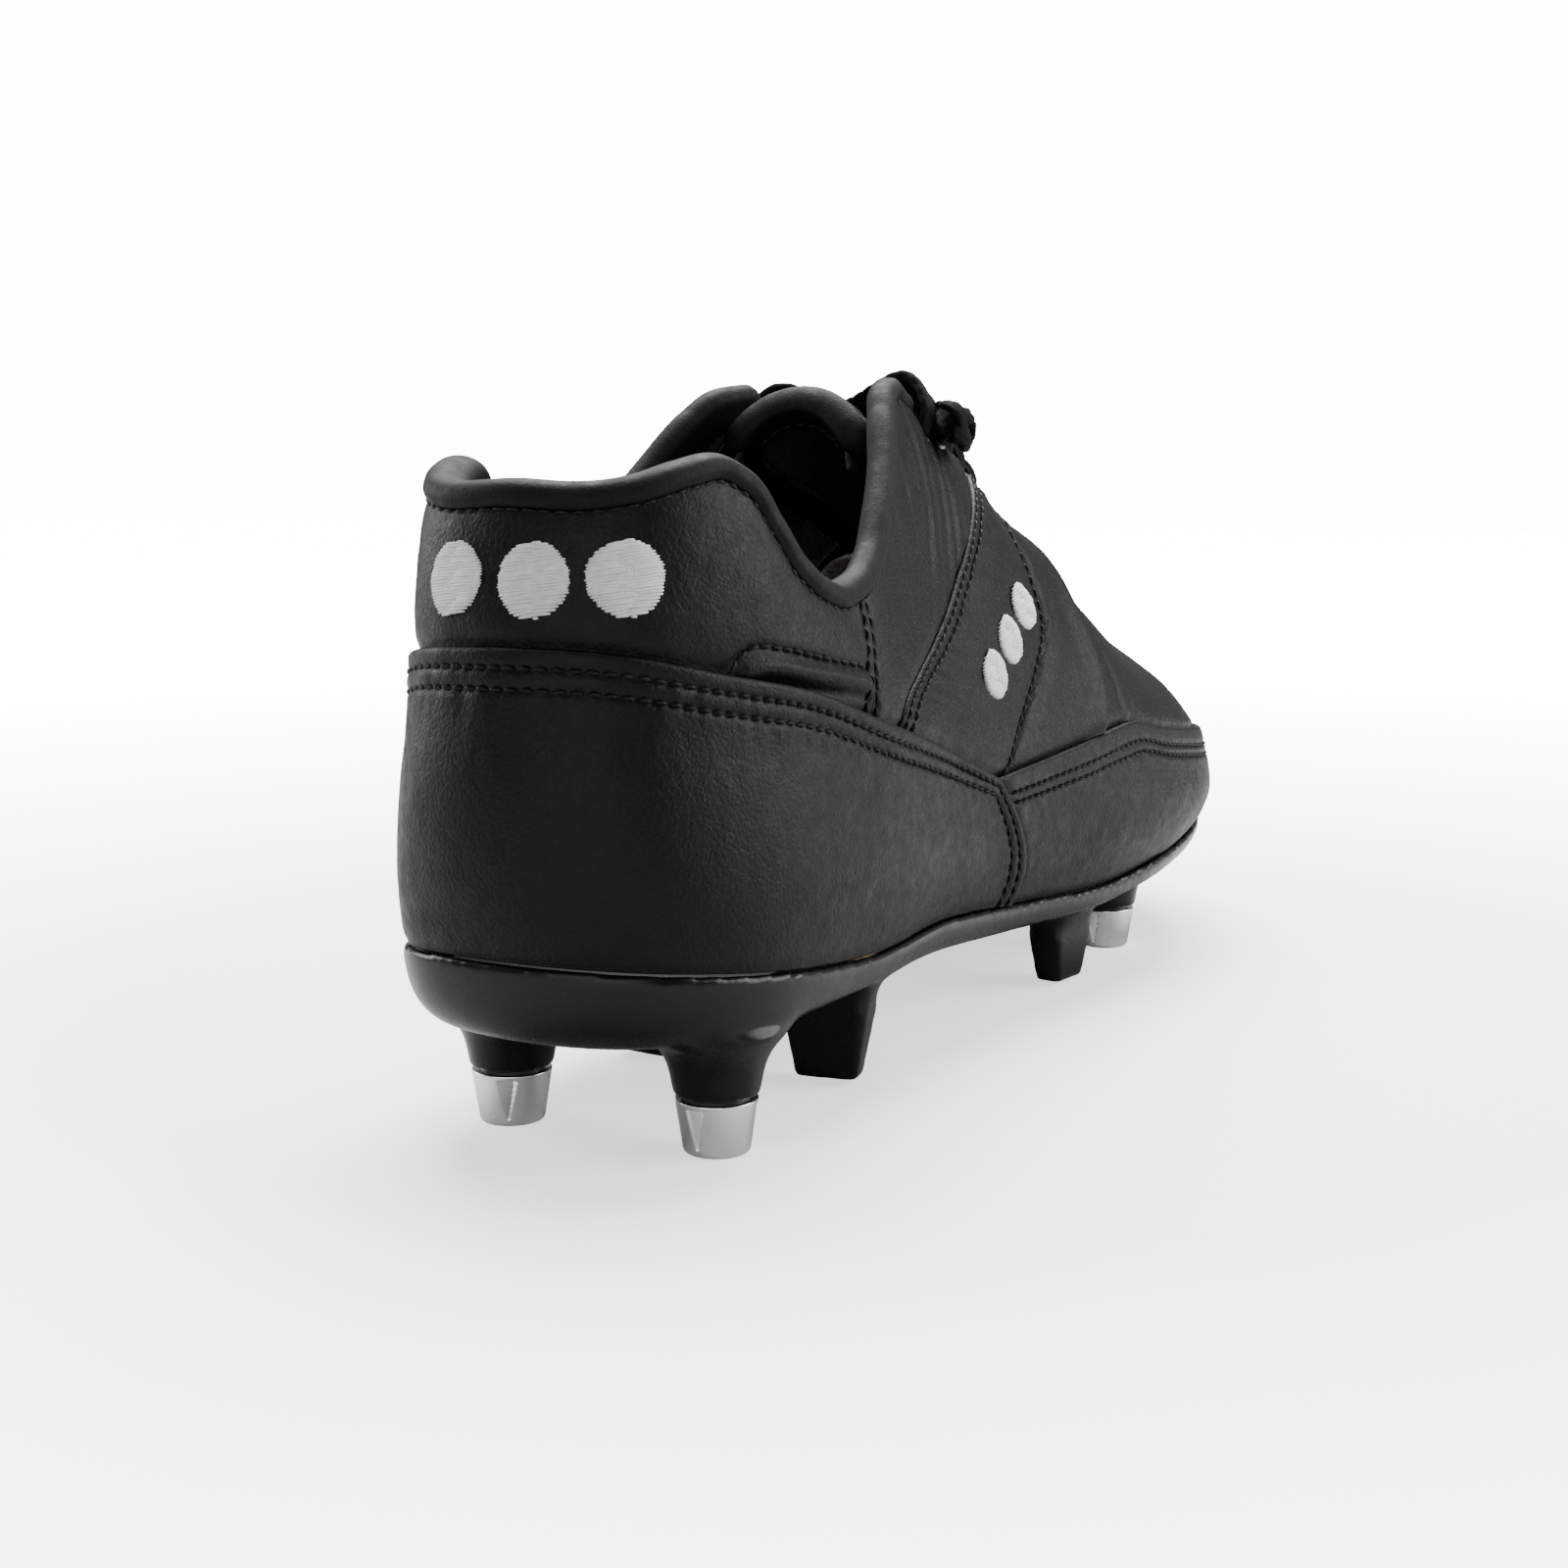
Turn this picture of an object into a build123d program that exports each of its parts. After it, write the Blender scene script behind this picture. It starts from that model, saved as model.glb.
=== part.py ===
from build123d import *
import math
import os

import numpy as np

# A right-foot football boot: a leather upper lasted on to a moulded plate with six screw-in studs.
# Millimetres. +X is the lateral side, +Y points to the toe, +Z is up, and the studs stand on z = 0.
# Every place on the upper is a share of the way round the feather line (the line where the upper
# meets the plate: 0 at the heel, TOE_SHARE at the toe, on round the medial side to 1) and a rise
# up the wall from that line (0) to the ridge over the instep (1).

# ---- driving dimensions ----
MIDDLE_X = -0.92            # middle of the whole boot's box, taken off every place at export
MIDDLE_Y = 133.09
TOE_SHARE = 0.505

LEATHER = 1.3               # thickness of every cover panel
LAYER_GAP = 0.1             # glue line between one layer and the next
STIFFENER = 1.4
STIFFENER_CLEARANCE = 0.3   # glue behind the heel counter, where the cover bends most
FOAM = 3.0
LINING = 0.7
PUFF = 0.7
TAPE = 0.4
HEEL_LINING_DEPTH = 4.6
FRONT_LINING_DEPTH = 2.4
SEAM_GAP = 0.004            # gap between neighbouring panels, in rise
BINDING_HEIGHT = 2.6        # height of the rolled binding over the collar's cut edge
BINDING_GAP = 0.35

PLATE_THICKNESS = 2.6
PLATE_WALL = 2.4
PLATE_LIP = 0.6             # how far the plate's edge stands out from the upper
PLATE_EDGE_FILLET = 4.2
BOARD_THICKNESS = 2.0
SOCKLINER_THICKNESS = 3.4

STUD_TOP_RADIUS = 6.4
STUD_FOOT_RADIUS = 5.1
STUD_HEIGHT = 9.0
STUD_FOOT_CHAMFER = 0.7
NOTCH_START = 1.4           # the spanner notches are narrow at the foot and wide at the top
NOTCH_HEIGHT = 6.0
NOTCH_FOOT_RADIUS = 0.3
NOTCH_TOP_RADIUS = 1.3
PIN_RADIUS = 2.5
PIN_LENGTH = 8.0
PIN_IN_STUD = 6.0
RUNNING_FIT = 0.06          # radial clearance of the pin in its insert
HOLE_CLEARANCE = 0.4        # radial clearance of the pin in the boss under the insert
WASHER_THICKNESS = 0.5
WASHER_RADIUS = 5.2
INSERT_RADIUS = 4.0
INSERT_LENGTH = 9.0
INSERT_CAP = 0.6
BOSS_FLARE = 6.0

STUDS = {                   # name: (x, y) of each screw-in stud
    "heel_lateral": (18.5, 27.0),
    "heel_medial": (-18.5, 27.0),
    "ball_lateral": (25.5, 193.0),
    "ball_medial": (-28.0, 193.0),
    "toe_lateral": (9.0, 238.0),
    "toe_medial": (-20.0, 236.0),
}
BLADES = {                  # name: (x, y, turn in degrees, length, width at the plate)
    "heel_lateral": (17.5, 69.0, 8.0, 15.0, 7.0),
    "heel_medial": (-17.5, 69.0, -8.0, 15.0, 7.0),
    "waist_lateral": (28.5, 155.0, 80.0, 14.0, 7.5),
    "waist_medial": (-27.0, 155.0, -80.0, 14.0, 7.5),
}
BLADE_FOOT_Z = 0.8

# ---- the last: the shape that the upper is pulled over ----
FEATHER = [                 # (share, x, y)
    (0.000, -2.0, 1.0), (0.045, 18.0, 6.5), (0.090, 29.0, 24.0), (0.140, 31.5, 54.0),
    (0.200, 31.0, 88.0), (0.260, 33.5, 121.0), (0.315, 39.0, 152.0), (0.365, 43.0, 182.0),
    (0.410, 40.5, 211.0), (0.450, 30.0, 238.0), (0.480, 15.0, 257.0), (0.505, -5.0, 267.0),
    (0.530, -23.0, 261.0), (0.560, -37.0, 240.0), (0.600, -44.5, 211.0), (0.640, -45.0, 182.0),
    (0.690, -38.0, 152.0), (0.745, -31.0, 121.0), (0.805, -31.0, 88.0), (0.865, -34.0, 54.0),
    (0.915, -33.0, 24.0), (0.957, -22.0, 6.5),
]
SPINE_Y = [                 # (share, y) of the point on the ridge that faces each share
    (0.000, 38), (0.090, 40), (0.140, 56), (0.200, 88), (0.260, 120), (0.315, 149), (0.365, 176),
    (0.410, 200), (0.450, 219), (0.480, 229), (0.505, 232), (0.530, 229), (0.560, 219),
    (0.600, 200), (0.640, 177), (0.690, 149), (0.745, 120), (0.805, 88), (0.865, 56), (0.915, 40),
]
RIDGE_X = [(38, -2.0), (120, -1.0), (149, -2.0), (176, -3.0), (232, -5.0)]
RIM_Z = [                   # (y, z) of the feather line
    (1, 32.0), (24, 29.0), (54, 25.7), (88, 25.3), (121, 22.8), (152, 21.5), (182, 24.0),
    (211, 26.5), (238, 29.0), (257, 30.5), (267, 31.0),
]
UNDERSIDE_Z = [             # (y, z) of the middle of the plate's underside
    (-3, 18.5), (50, 18.5), (88, 18.4), (120, 16.6), (152, 15.8), (182, 18.2), (211, 20.6),
    (238, 23.2), (257, 25.2), (271, 26.4),
]
RISE_KNOTS = [0.0, 0.17, 0.34, 0.50, 0.67, 0.84, 1.0]
WALLS = {                   # share: (share of the way in to the ridge, z) at each rise knot
    0.000: [(0, 32.0), (-0.060, 44), (-0.075, 58), (-0.020, 75), (0.05, 90), (0.12, 104), (0.28, 122)],
    0.090: [(0, 29.0), (-0.025, 42), (0.012, 56), (0.078, 72), (0.12, 90), (0.22, 105), (0.42, 123)],
    0.140: [(0, 25.7), (-0.070, 38), (-0.060, 52), (-0.010, 68), (0.09, 85), (0.22, 104), (0.46, 128)],
    0.200: [(0, 25.3), (-0.090, 36), (-0.080, 48), (0.000, 63), (0.12, 82), (0.26, 103), (0.64, 133)],
    0.260: [(0, 22.8), (-0.090, 33), (-0.090, 46), (-0.010, 61), (0.13, 79), (0.38, 101), (0.80, 117.5)],
    0.315: [(0, 21.5), (-0.090, 31), (-0.090, 42), (-0.010, 56), (0.15, 72), (0.44, 88), (1, 97.5)],
    0.365: [(0, 24.0), (-0.075, 32), (-0.060, 40), (0.020, 51), (0.20, 63), (0.50, 74), (1, 79.5)],
    0.410: [(0, 26.5), (-0.060, 33), (-0.040, 40), (0.040, 48.5), (0.22, 58), (0.54, 65.5), (1, 69)],
    0.450: [(0, 29.0), (-0.050, 34), (-0.030, 40), (0.060, 47), (0.25, 53.5), (0.56, 58.5), (1, 61)],
    0.480: [(0, 30.5), (-0.040, 35), (-0.020, 39.5), (0.070, 45), (0.28, 50.5), (0.60, 54.5), (1, 57)],
    0.505: [(0, 31.0), (-0.030, 35), (-0.010, 39.5), (0.080, 44.5), (0.29, 49.5), (0.60, 53.5), (1, 56)],
}
CLOSED_RIDGE = (0.85, 1.0)  # the ridge rounds over where a wall ends between these shares of the way in

# ---- seams: (share, z) on the lateral side; the medial side mirrors them ----
TOPLINE = [
    (0.000, 101.7), (0.028, 101.3), (0.045, 102.3), (0.065, 104.4), (0.080, 105.4), (0.091, 103.5),
    (0.102, 97.3), (0.113, 90.4), (0.1225, 87.2), (0.1315, 85.9), (0.143, 87.1), (0.157, 90.9),
    (0.170, 97.7), (0.184, 105.7), (0.198, 114.0), (0.210, 118.3), (0.222, 119.4),
]
CUT_EDGE = [(share, z - BINDING_HEIGHT) for share, z in TOPLINE]
COUNTER_SEAM = [
    (0.000, 77.7), (0.028, 77.3), (0.076, 73.5), (0.108, 70.3), (0.143, 63.6), (0.186, 56.8), (0.227, 48.5),
]
COUNTER_FRONT = [(0.227, 48.5), (0.237, 41.9), (0.244, 35.9), (0.248, 30.2), (0.249, 23.5)]
MUDGUARD_SEAM = [
    (0.227, 48.5), (0.256, 49.6), (0.283, 51.0), (0.313, 52.9), (0.328, 53.3), (0.349, 51.2),
    (0.380, 48.8), (0.420, 46.2), (0.460, 44.2), (0.505, 43.4),
]
COLLAR_FRONT = [(0.1400, 64.2), (0.1417, 70.7), (0.1437, 76.0), (0.1437, 81.2), (0.1445, 84.8)]
BAND_REAR = [(0.158, 61.2), (0.164, 64.0), (0.1973, 69.6), (0.2287, 77.7), (0.261, 86.1), (0.284, 93.5)]
BAND_FRONT = [
    (0.236, 48.9), (0.253, 55.8), (0.264, 59.9), (0.2753, 64.4), (0.2834, 68.1), (0.2874, 73.0),
    (0.2890, 79.0), (0.2930, 86.0), (0.2960, 91.0),
]
OVERLAY_EDGE = [(0.304, 52.3), (0.3085, 57.0), (0.3105, 63.0), (0.3115, 69.3), (0.3125, 78.0), (0.3140, 89.5)]
THROAT_RISE = 0.93          # rise of the facing's edge beside the throat
VAMP_REAR_Y = 163.0         # where the throat ends on the ridge

# ---- embroidered discs: (share, z) ----
HEEL_DISCS = [(-0.0185, 87.0), (0.0111, 87.0), (0.0405, 87.4)]
SIDE_DISCS = [(0.2348, 66.4), (0.2510, 71.9), (0.2680, 77.3)]
HEEL_DISC_RADIUS = 5.4
SIDE_DISC_RADIUS = 4.3
EMBROIDERY_THICKNESS = 0.5
EMBROIDERY_GAP = 0.15

# ---- tongue and laces ----
TONGUE_TOP_Y = 95.0
TONGUE_FOOT_Y = 157.0
TONGUE_APEX = [(95, 117.0), (104, 116.6), (120, 110.8), (138, 100.6), (150, 93.4), (157, 89.6)]
TONGUE_MIDDLE_X = -0.3
TONGUE_HALF_WIDTH = (16.8, 11.6)
TONGUE_DROP = (18.0, 7.0)
TONGUE_LEAN = (9.0, 2.0)    # how far back the tongue's sides stand from its middle
TONGUE_SPREAD = 78.0        # degrees of arch each side of the middle
TONGUE_FOAM = 3.2
LACE_WIDTH = 5.0
LACE_THICKNESS = 1.8
LACE_SHARES = [0.233, 0.247, 0.261, 0.275, 0.289, 0.303]   # eyelet rows, top first
EYELET_RISE = 0.885
LACE_CLEARANCE = 0.5        # of a strand over the leather at its eyelet
EDGE_RISE = 0.94            # where a strand passes over the throat's edge
EDGE_CLEARANCE = 0.9
LACE_GAP = 0.5              # between the two layers of strands
LACE_OVER_TONGUE = 1.6
TONGUE_SLOPE = math.radians(38)

shapes = {}


# ---- the last as a surface ----
def smooth(knots, rows, x, period=None):
    """Cubic through rows at knots, with weighted slopes; period joins the end to the start."""
    at = np.asarray(knots, float)
    values = np.asarray(rows, float).reshape(len(at), -1)
    x = np.atleast_1d(np.asarray(x, float))
    if period:
        x = np.mod(x, period)
        at = np.concatenate([at[-2:] - period, at, at[:2] + period])
        values = np.concatenate([values[-2:], values, values[:2]])
    step = np.diff(at)[:, None]
    slope = np.diff(values, axis=0) / step
    inner = (slope[:-1] * step[1:] + slope[1:] * step[:-1]) / (step[1:] + step[:-1])
    slopes = np.vstack([slope[:1], inner, slope[-1:]])
    i = np.clip(np.searchsorted(at, x, side="right") - 1, 0, len(at) - 2)
    width = (at[i + 1] - at[i])[:, None]
    t = (x - at[i])[:, None] / width
    return hermite(t, width, values[i], slopes[i], values[i + 1], slopes[i + 1])


def hermite(t, width, start, start_slope, end, end_slope):
    return (start * (2 * t**3 - 3 * t**2 + 1) + start_slope * width * (t**3 - 2 * t**2 + t)
            + end * (3 * t**2 - 2 * t**3) + end_slope * width * (t**3 - t**2))


def feather(share):
    table = np.array(FEATHER)
    return smooth(table[:, 0], table[:, 1:], share, 1.0)


def spine(share):
    table = np.array(SPINE_Y, float)
    y = smooth(table[:, 0], table[:, 1], share, 1.0)[:, 0]
    ridge = np.array(RIDGE_X, float)
    return np.stack([smooth(ridge[:, 0], ridge[:, 1], y)[:, 0], y], 1)


def rim_z(y):
    table = np.array(RIM_Z, float)
    return smooth(table[:, 0], table[:, 1], np.clip(y, table[0, 0], table[-1, 0]))[:, 0]


def underside_z(y):
    table = np.array(UNDERSIDE_Z, float)
    return smooth(table[:, 0], table[:, 1], np.clip(y, table[0, 0], table[-1, 0]))[:, 0]


def all_walls():
    """Wall profiles round the whole boot: the lateral ones, and the same mirrored to the medial side."""
    lateral = sorted(WALLS)
    rows = [(share, np.ravel(WALLS[share])) for share in lateral]
    rows += [(2 * TOE_SHARE - share, np.ravel(WALLS[share])) for share in lateral if 0 < share < TOE_SHARE]
    rows.sort(key=lambda row: row[0])
    return np.array([row[0] for row in rows]), np.array([row[1] for row in rows])


WALL_SHARES, WALL_ROWS = all_walls()


def wall_rows(share):
    rows = smooth(WALL_SHARES, WALL_ROWS, share, 1.0).reshape(len(share), len(RISE_KNOTS), 2)
    rows[:, 0, 1] = rim_z(feather(share)[:, 1])
    return rows


def wall_slopes(rows):
    step = np.diff(np.array(RISE_KNOTS))[None, :, None]
    slope = np.diff(rows, axis=1) / step
    inner = (slope[:, :-1] * step[:, 1:] + slope[:, 1:] * step[:, :-1]) / (step[:, 1:] + step[:, :-1])
    last = slope[:, -1:].copy()
    low, high = CLOSED_RIDGE
    closed = np.clip((rows[:, -1, 0] - low) / (high - low), 0, 1)
    last[:, 0, 1] *= 1 - closed
    return np.concatenate([slope[:, :1], inner, last], 1)


def last_profile(share, rise):
    """(way in to the ridge, z) at each share and rise"""
    rows = wall_rows(share)
    slopes = wall_slopes(rows)
    knots = np.array(RISE_KNOTS)
    i = np.clip(np.searchsorted(knots, rise, side="right") - 1, 0, len(knots) - 2)
    each = np.arange(len(share))
    width = (knots[i + 1] - knots[i])[:, None]
    t = (rise - knots[i])[:, None] / width
    return hermite(t, width, rows[each, i], slopes[each, i], rows[each, i + 1], slopes[each, i + 1])


def last_point(share, rise):
    share = np.atleast_1d(np.asarray(share, float))
    rise = np.broadcast_to(np.asarray(rise, float), share.shape)
    profile = last_profile(share, rise)
    start = feather(share)
    flat = start + (spine(share) - start) * profile[:, :1]
    return np.concatenate([flat, profile[:, 1:]], 1)


def rise_at(share, z):
    """The rise at which the wall at each share reaches height z."""
    share = np.atleast_1d(np.asarray(share, float))
    low = np.zeros(len(share))
    high = np.ones(len(share))
    for _ in range(24):
        middle = (low + high) / 2
        below = last_point(share, middle)[:, 2] < z
        low = np.where(below, middle, low)
        high = np.where(below, high, middle)
    return (low + high) / 2


def unit(vectors):
    return vectors / np.maximum(np.linalg.norm(vectors, axis=-1, keepdims=True), 1e-9)


def last_at_depth(share, rise, depth):
    """Points of the last's surface moved inwards by depth."""
    small = 1e-3
    point = last_point(share, rise)
    ahead = last_point(share + small, rise) - last_point(share - small, rise)
    up = last_point(share, np.minimum(rise + small, 1)) - last_point(share, np.maximum(rise - small, 0))
    return point - unit(np.cross(ahead, up)) * np.reshape(depth, (-1, 1))


# ---- the last seen from above, for pieces that cross the ridge ----
def share_through(x, y):
    """The share whose line from feather to ridge passes over (x, y), in front of the ankle."""
    ridge = np.array(RIDGE_X, float)
    lateral = x >= smooth(ridge[:, 0], ridge[:, 1], np.minimum(y, 232.0))[:, 0]
    low = np.where(lateral, 0.15, 2 * TOE_SHARE - 0.15)
    high = np.full(len(x), TOE_SHARE)
    for _ in range(34):
        middle = (low + high) / 2
        start = feather(middle)
        way = spine(middle) - start
        turn = way[:, 0] * (y - start[:, 1]) - way[:, 1] * (x - start[:, 0])
        behind = np.where(lateral, turn < 0, turn > 0)
        low = np.where(behind, middle, low)
        high = np.where(behind, high, middle)
    return (low + high) / 2


def wall_place(x, y):
    """(share, rise) of the upper side of the last over the plan points (x, y)."""
    share = share_through(x, y)
    start = feather(share)
    way = spine(share) - start
    inward = ((x - start[:, 0]) * way[:, 0] + (y - start[:, 1]) * way[:, 1]) / np.sum(way**2, 1)
    low = np.full(len(x), 0.34)
    high = np.ones(len(x))
    for _ in range(30):
        middle = (low + high) / 2
        outside = last_profile(share, middle)[:, 0] < inward
        low = np.where(outside, middle, low)
        high = np.where(outside, high, middle)
    return share, (low + high) / 2


# ---- curves and patches on the last ----
def medial(share):
    """The share on the medial side that faces a lateral share, counted back from the heel."""
    return -share * (1 - TOE_SHARE) / TOE_SHARE


def through(points, count):
    """count points on a smooth curve through the given ones, evenly spaced."""
    points = np.array(points, float)
    scaled = points * [200.0, 1.0] if points.shape[1] == 2 else points
    distance = np.concatenate([[0], np.cumsum(np.linalg.norm(np.diff(scaled, axis=0), axis=1))])
    return smooth(distance, points, np.linspace(0, distance[-1], count))


def lateral_share(share):
    """The lateral share that faces any share, counted from the heel."""
    share = np.mod(share, 1.0)
    return np.where(share > TOE_SHARE, (1 - share) * TOE_SHARE / (1 - TOE_SHARE), share)


def seam(points, count, lift=0.0):
    """A seam given as (share, z), as (share, rise); its rises are the same on both sides."""
    curve = through(points, count)
    curve[:, 1] = np.clip(rise_at(lateral_share(curve[:, 0]), curve[:, 1]) + lift, 0, 1)
    return curve


def cut(points, start, end):
    """The stretch of a (share, z) seam between two shares, with its end points worked out."""
    table = np.array(points, float)
    inside = [tuple(row) for row in table if start + 1e-4 < row[0] < end - 1e-4]
    ends = smooth(table[:, 0], table[:, 1], [start, end])[:, 0]
    return [(start, ends[0])] + inside + [(end, ends[1])]


def other_side(points):
    """The same seam on the medial side."""
    return [(medial(share), value) for share, value in points]


def round_heel(points):
    """A seam that starts at the heel, carried round both sides from medial to lateral."""
    return other_side(points)[:0:-1] + list(points)


def round_toe(points):
    """A seam that ends at the toe, carried on round to the medial side."""
    return list(points) + [(1 + medial(share), value) for share, value in points[-2::-1]]


def level(start, end, rise, count):
    return np.stack([np.linspace(start, end, count), np.full(count, rise)], 1)


def coons(bottom, top, left, right):
    """Grid that fills the four edges; bottom and top run along, left and right run across."""
    along, across = len(bottom), len(left)
    s = np.linspace(0, 1, along)[:, None, None]
    t = np.linspace(0, 1, across)[None, :, None]
    ruled_up = bottom[:, None] * (1 - t) + top[:, None] * t
    ruled_on = left[None] * (1 - s) + right[None] * s
    corners = (bottom[0] * (1 - s) * (1 - t) + bottom[-1] * s * (1 - t) + top[0] * (1 - s) * t + top[-1] * s * t)
    return ruled_up + ruled_on - corners


def straight(start, end, count):
    t = np.linspace(0, 1, count)[:, None]
    return np.asarray(start) * (1 - t) + np.asarray(end) * t


def solid_between(outer, inner):
    """A closed solid between two grids of points with the same layout."""
    faces = []
    for grid in (outer, inner):
        rows = [[Vector(*map(float, point)) for point in row] for row in grid]
        faces.append(Face.make_surface_from_array_of_points(rows, tol=0.03))
    sides = []
    for edge, partner in zip(faces[0].edges(), faces[1].edges()):
        sides.append(Face.make_surface_from_curves(edge, partner))
    shell = Shell(faces + sides)
    solid = Solid(shell)
    if solid.volume < 0:
        solid = Solid(Shell([-face for face in shell.faces()]))
    return solid


def wall_piece(grid, outer_depth, inner_depth):
    """A layer of the wall over a (share, rise) grid, between two depths."""
    flat = grid.reshape(-1, 2)
    layers = []
    for depth in (outer_depth, inner_depth):
        points = last_at_depth(flat[:, 0], np.clip(flat[:, 1], 0.0, 1.0), depth)
        layers.append(points.reshape(*grid.shape[:2], 3))
    return solid_between(*layers)


def top_piece(grid, outer_depth, inner_depth):
    """A layer over a plan grid of (x, y) that crosses the ridge, between two depths."""
    flat = grid.reshape(-1, 2)
    share, rise = wall_place(flat[:, 0], flat[:, 1])
    layers = []
    for depth in (outer_depth, inner_depth):
        layers.append(last_at_depth(share, rise, depth).reshape(*grid.shape[:2], 3))
    return solid_between(*layers)


# ---- the upper's cover panels ----
ALONG = 19
ACROSS = 7


def heel_covers():
    """Counter cover round the heel, and the collar panel above it."""
    front = seam(COUNTER_FRONT, ACROSS)[::-1]
    front[:, 0] -= 0.0006
    back = front * [1, 1]
    back[:, 0] = medial(front[:, 0])
    low = level(back[0, 0], front[0, 0], 0.0, ALONG)
    high = seam(round_heel(COUNTER_SEAM), ALONG)
    shapes["counter_cover"] = wall_piece(coons(low, high, back, front), 0.0, LEATHER)

    start, end = COLLAR_FRONT[0][0], COLLAR_FRONT[-1][0]
    low = seam(round_heel(cut(COUNTER_SEAM, 0, start - 0.0006)), ALONG, SEAM_GAP)
    high = seam(round_heel(cut(CUT_EDGE, 0, end - 0.0006)), 2 * ALONG - 1)
    front = seam(COLLAR_FRONT, ACROSS)
    front[:, 0] -= 0.0006
    back = front * [1, 1]
    back[:, 0] = medial(front[:, 0])
    low = through(low, 2 * ALONG - 1)
    shapes["heel_collar_panel"] = wall_piece(coons(low, high, ends_at(back, low[0], high[0]),
                                                   ends_at(front, low[-1], high[-1])), 0.0, LEATHER)


def ends_at(curve, start, end):
    """The curve with its two ends moved exactly on to start and end."""
    t = np.linspace(0, 1, len(curve))[:, None]
    return curve + (start - curve[0]) * (1 - t) + (end - curve[-1]) * t


def facing_edge(start, end, count):
    return level(start, end, THROAT_RISE, count)


def side_panels():
    """Quarter, side band and fore band of each side, between the collar panel and the vamp."""
    count = 9
    top = seam(cut(CUT_EDGE, COLLAR_FRONT[-1][0] + 0.0006, CUT_EDGE[-1][0]), 2 * count)
    quarter_top = np.concatenate([top, facing_edge(0.226, BAND_REAR[-1][0] - 0.0006, count)])
    quarter_low = seam(cut(COUNTER_SEAM, COLLAR_FRONT[0][0] + 0.0006, BAND_REAR[0][0] - 0.0006), count, SEAM_GAP)
    band_low = seam(cut(COUNTER_SEAM, BAND_REAR[0][0] + 0.0006, 0.2269)
                    + cut(MUDGUARD_SEAM, 0.2271, BAND_FRONT[0][0] - 0.0006), count, SEAM_GAP)
    band_top = facing_edge(BAND_REAR[-1][0] + 0.0006, BAND_FRONT[-1][0] - 0.0006, count)
    fore_low = seam(cut(MUDGUARD_SEAM, BAND_FRONT[0][0] + 0.0006, OVERLAY_EDGE[0][0] - 0.0006), count, SEAM_GAP)
    fore_top = facing_edge(BAND_FRONT[-1][0] + 0.0006, 0.317, count)
    panels = {
        "quarter": (quarter_low, quarter_top, COLLAR_FRONT, BAND_REAR),
        "side_band": (band_low, band_top, BAND_REAR, BAND_FRONT),
        "fore_band": (fore_low, fore_top, BAND_FRONT, OVERLAY_EDGE),
    }
    for name, (low, high, left, right) in panels.items():
        length = 3 * count if name == "quarter" else count
        low = through(low, length)
        high = through(high, length)
        left = ends_at(seam(left, ACROSS), low[0], high[0])
        right = ends_at(seam(right, ACROSS), low[-1], high[-1])
        grid = coons(low, high, left, right)
        shapes["lateral_" + name] = wall_piece(grid, 0.0, LEATHER)
        mirrored = grid.copy()
        mirrored[:, :, 0] = 1 + medial(grid[:, :, 0])
        shapes["medial_" + name] = wall_piece(mirrored, 0.0, LEATHER)


def plan_of(curve):
    return last_point(curve[:, 0], curve[:, 1])[:, :2]


def vamp_grid(lift, back_off):
    """Plan grid of the forepart's top, in front of the throat and inside the mudguard seam."""
    rear_share, toe_share = OVERLAY_EDGE[0][0] + back_off, 0.445
    side = seam(cut(MUDGUARD_SEAM, rear_share, toe_share), 11, lift)
    front_half = cut(MUDGUARD_SEAM, toe_share, TOE_SHARE)
    front = seam(round_toe(front_half), 17, lift)
    right = plan_of(side)
    left = plan_of(np.stack([1 + medial(side[:, 0]), side[:, 1]], 1))
    top = plan_of(front)[::-1]
    edge = seam(OVERLAY_EDGE, 13)
    edge[:, 0] += back_off
    lateral_rear = plan_of(edge)
    medial_rear = plan_of(np.stack([1 + medial(edge[:, 0]), edge[:, 1]], 1))
    ridge = np.array([[-2.0, VAMP_REAR_Y]])
    bottom = through(np.concatenate([medial_rear[:-1], ridge, lateral_rear[-2::-1]]), 17)
    return coons(ends_at(bottom, left[0], right[0]), ends_at(top, left[-1], right[-1]), left, right)


def front_covers():
    """Vamp over the toes, and the mudguard round the forefoot below it."""
    shapes["vamp"] = top_piece(vamp_grid(SEAM_GAP, 0.0026), 0.0, LEATHER)
    start = COUNTER_FRONT[-1][0] + 0.0006
    length = 2 * ALONG - 1
    low = level(start, 1 + medial(start), 0.0, length)
    high = seam(round_toe(cut(MUDGUARD_SEAM, MUDGUARD_SEAM[0][0] + 0.0006, TOE_SHARE)), length)
    left = seam(COUNTER_FRONT, ACROSS)[::-1]
    left[:, 0] += 0.0006
    right = left.copy()
    right[:, 0] = 1 + medial(left[:, 0])
    grid = coons(low, high, ends_at(left, low[0], high[0]), ends_at(right, low[-1], high[-1]))
    shapes["mudguard"] = wall_piece(grid, 0.0, LEATHER)


# ---- stiffeners, foam and linings behind the covers ----
def band_grid(start, end, low_rise, top_points, drop, length):
    """Grid between a level rise and a (share, z) seam lowered by drop, from medial to lateral."""
    low = level(start, end, low_rise, length)
    high = seam(top_points, length, -drop)
    return coons(low, ends_at(high, [start, high[0, 1]], [end, high[-1, 1]]),
                 straight(low[0], [start, high[0, 1]], ACROSS), straight(low[-1], [end, high[-1, 1]], ACROSS))


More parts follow.
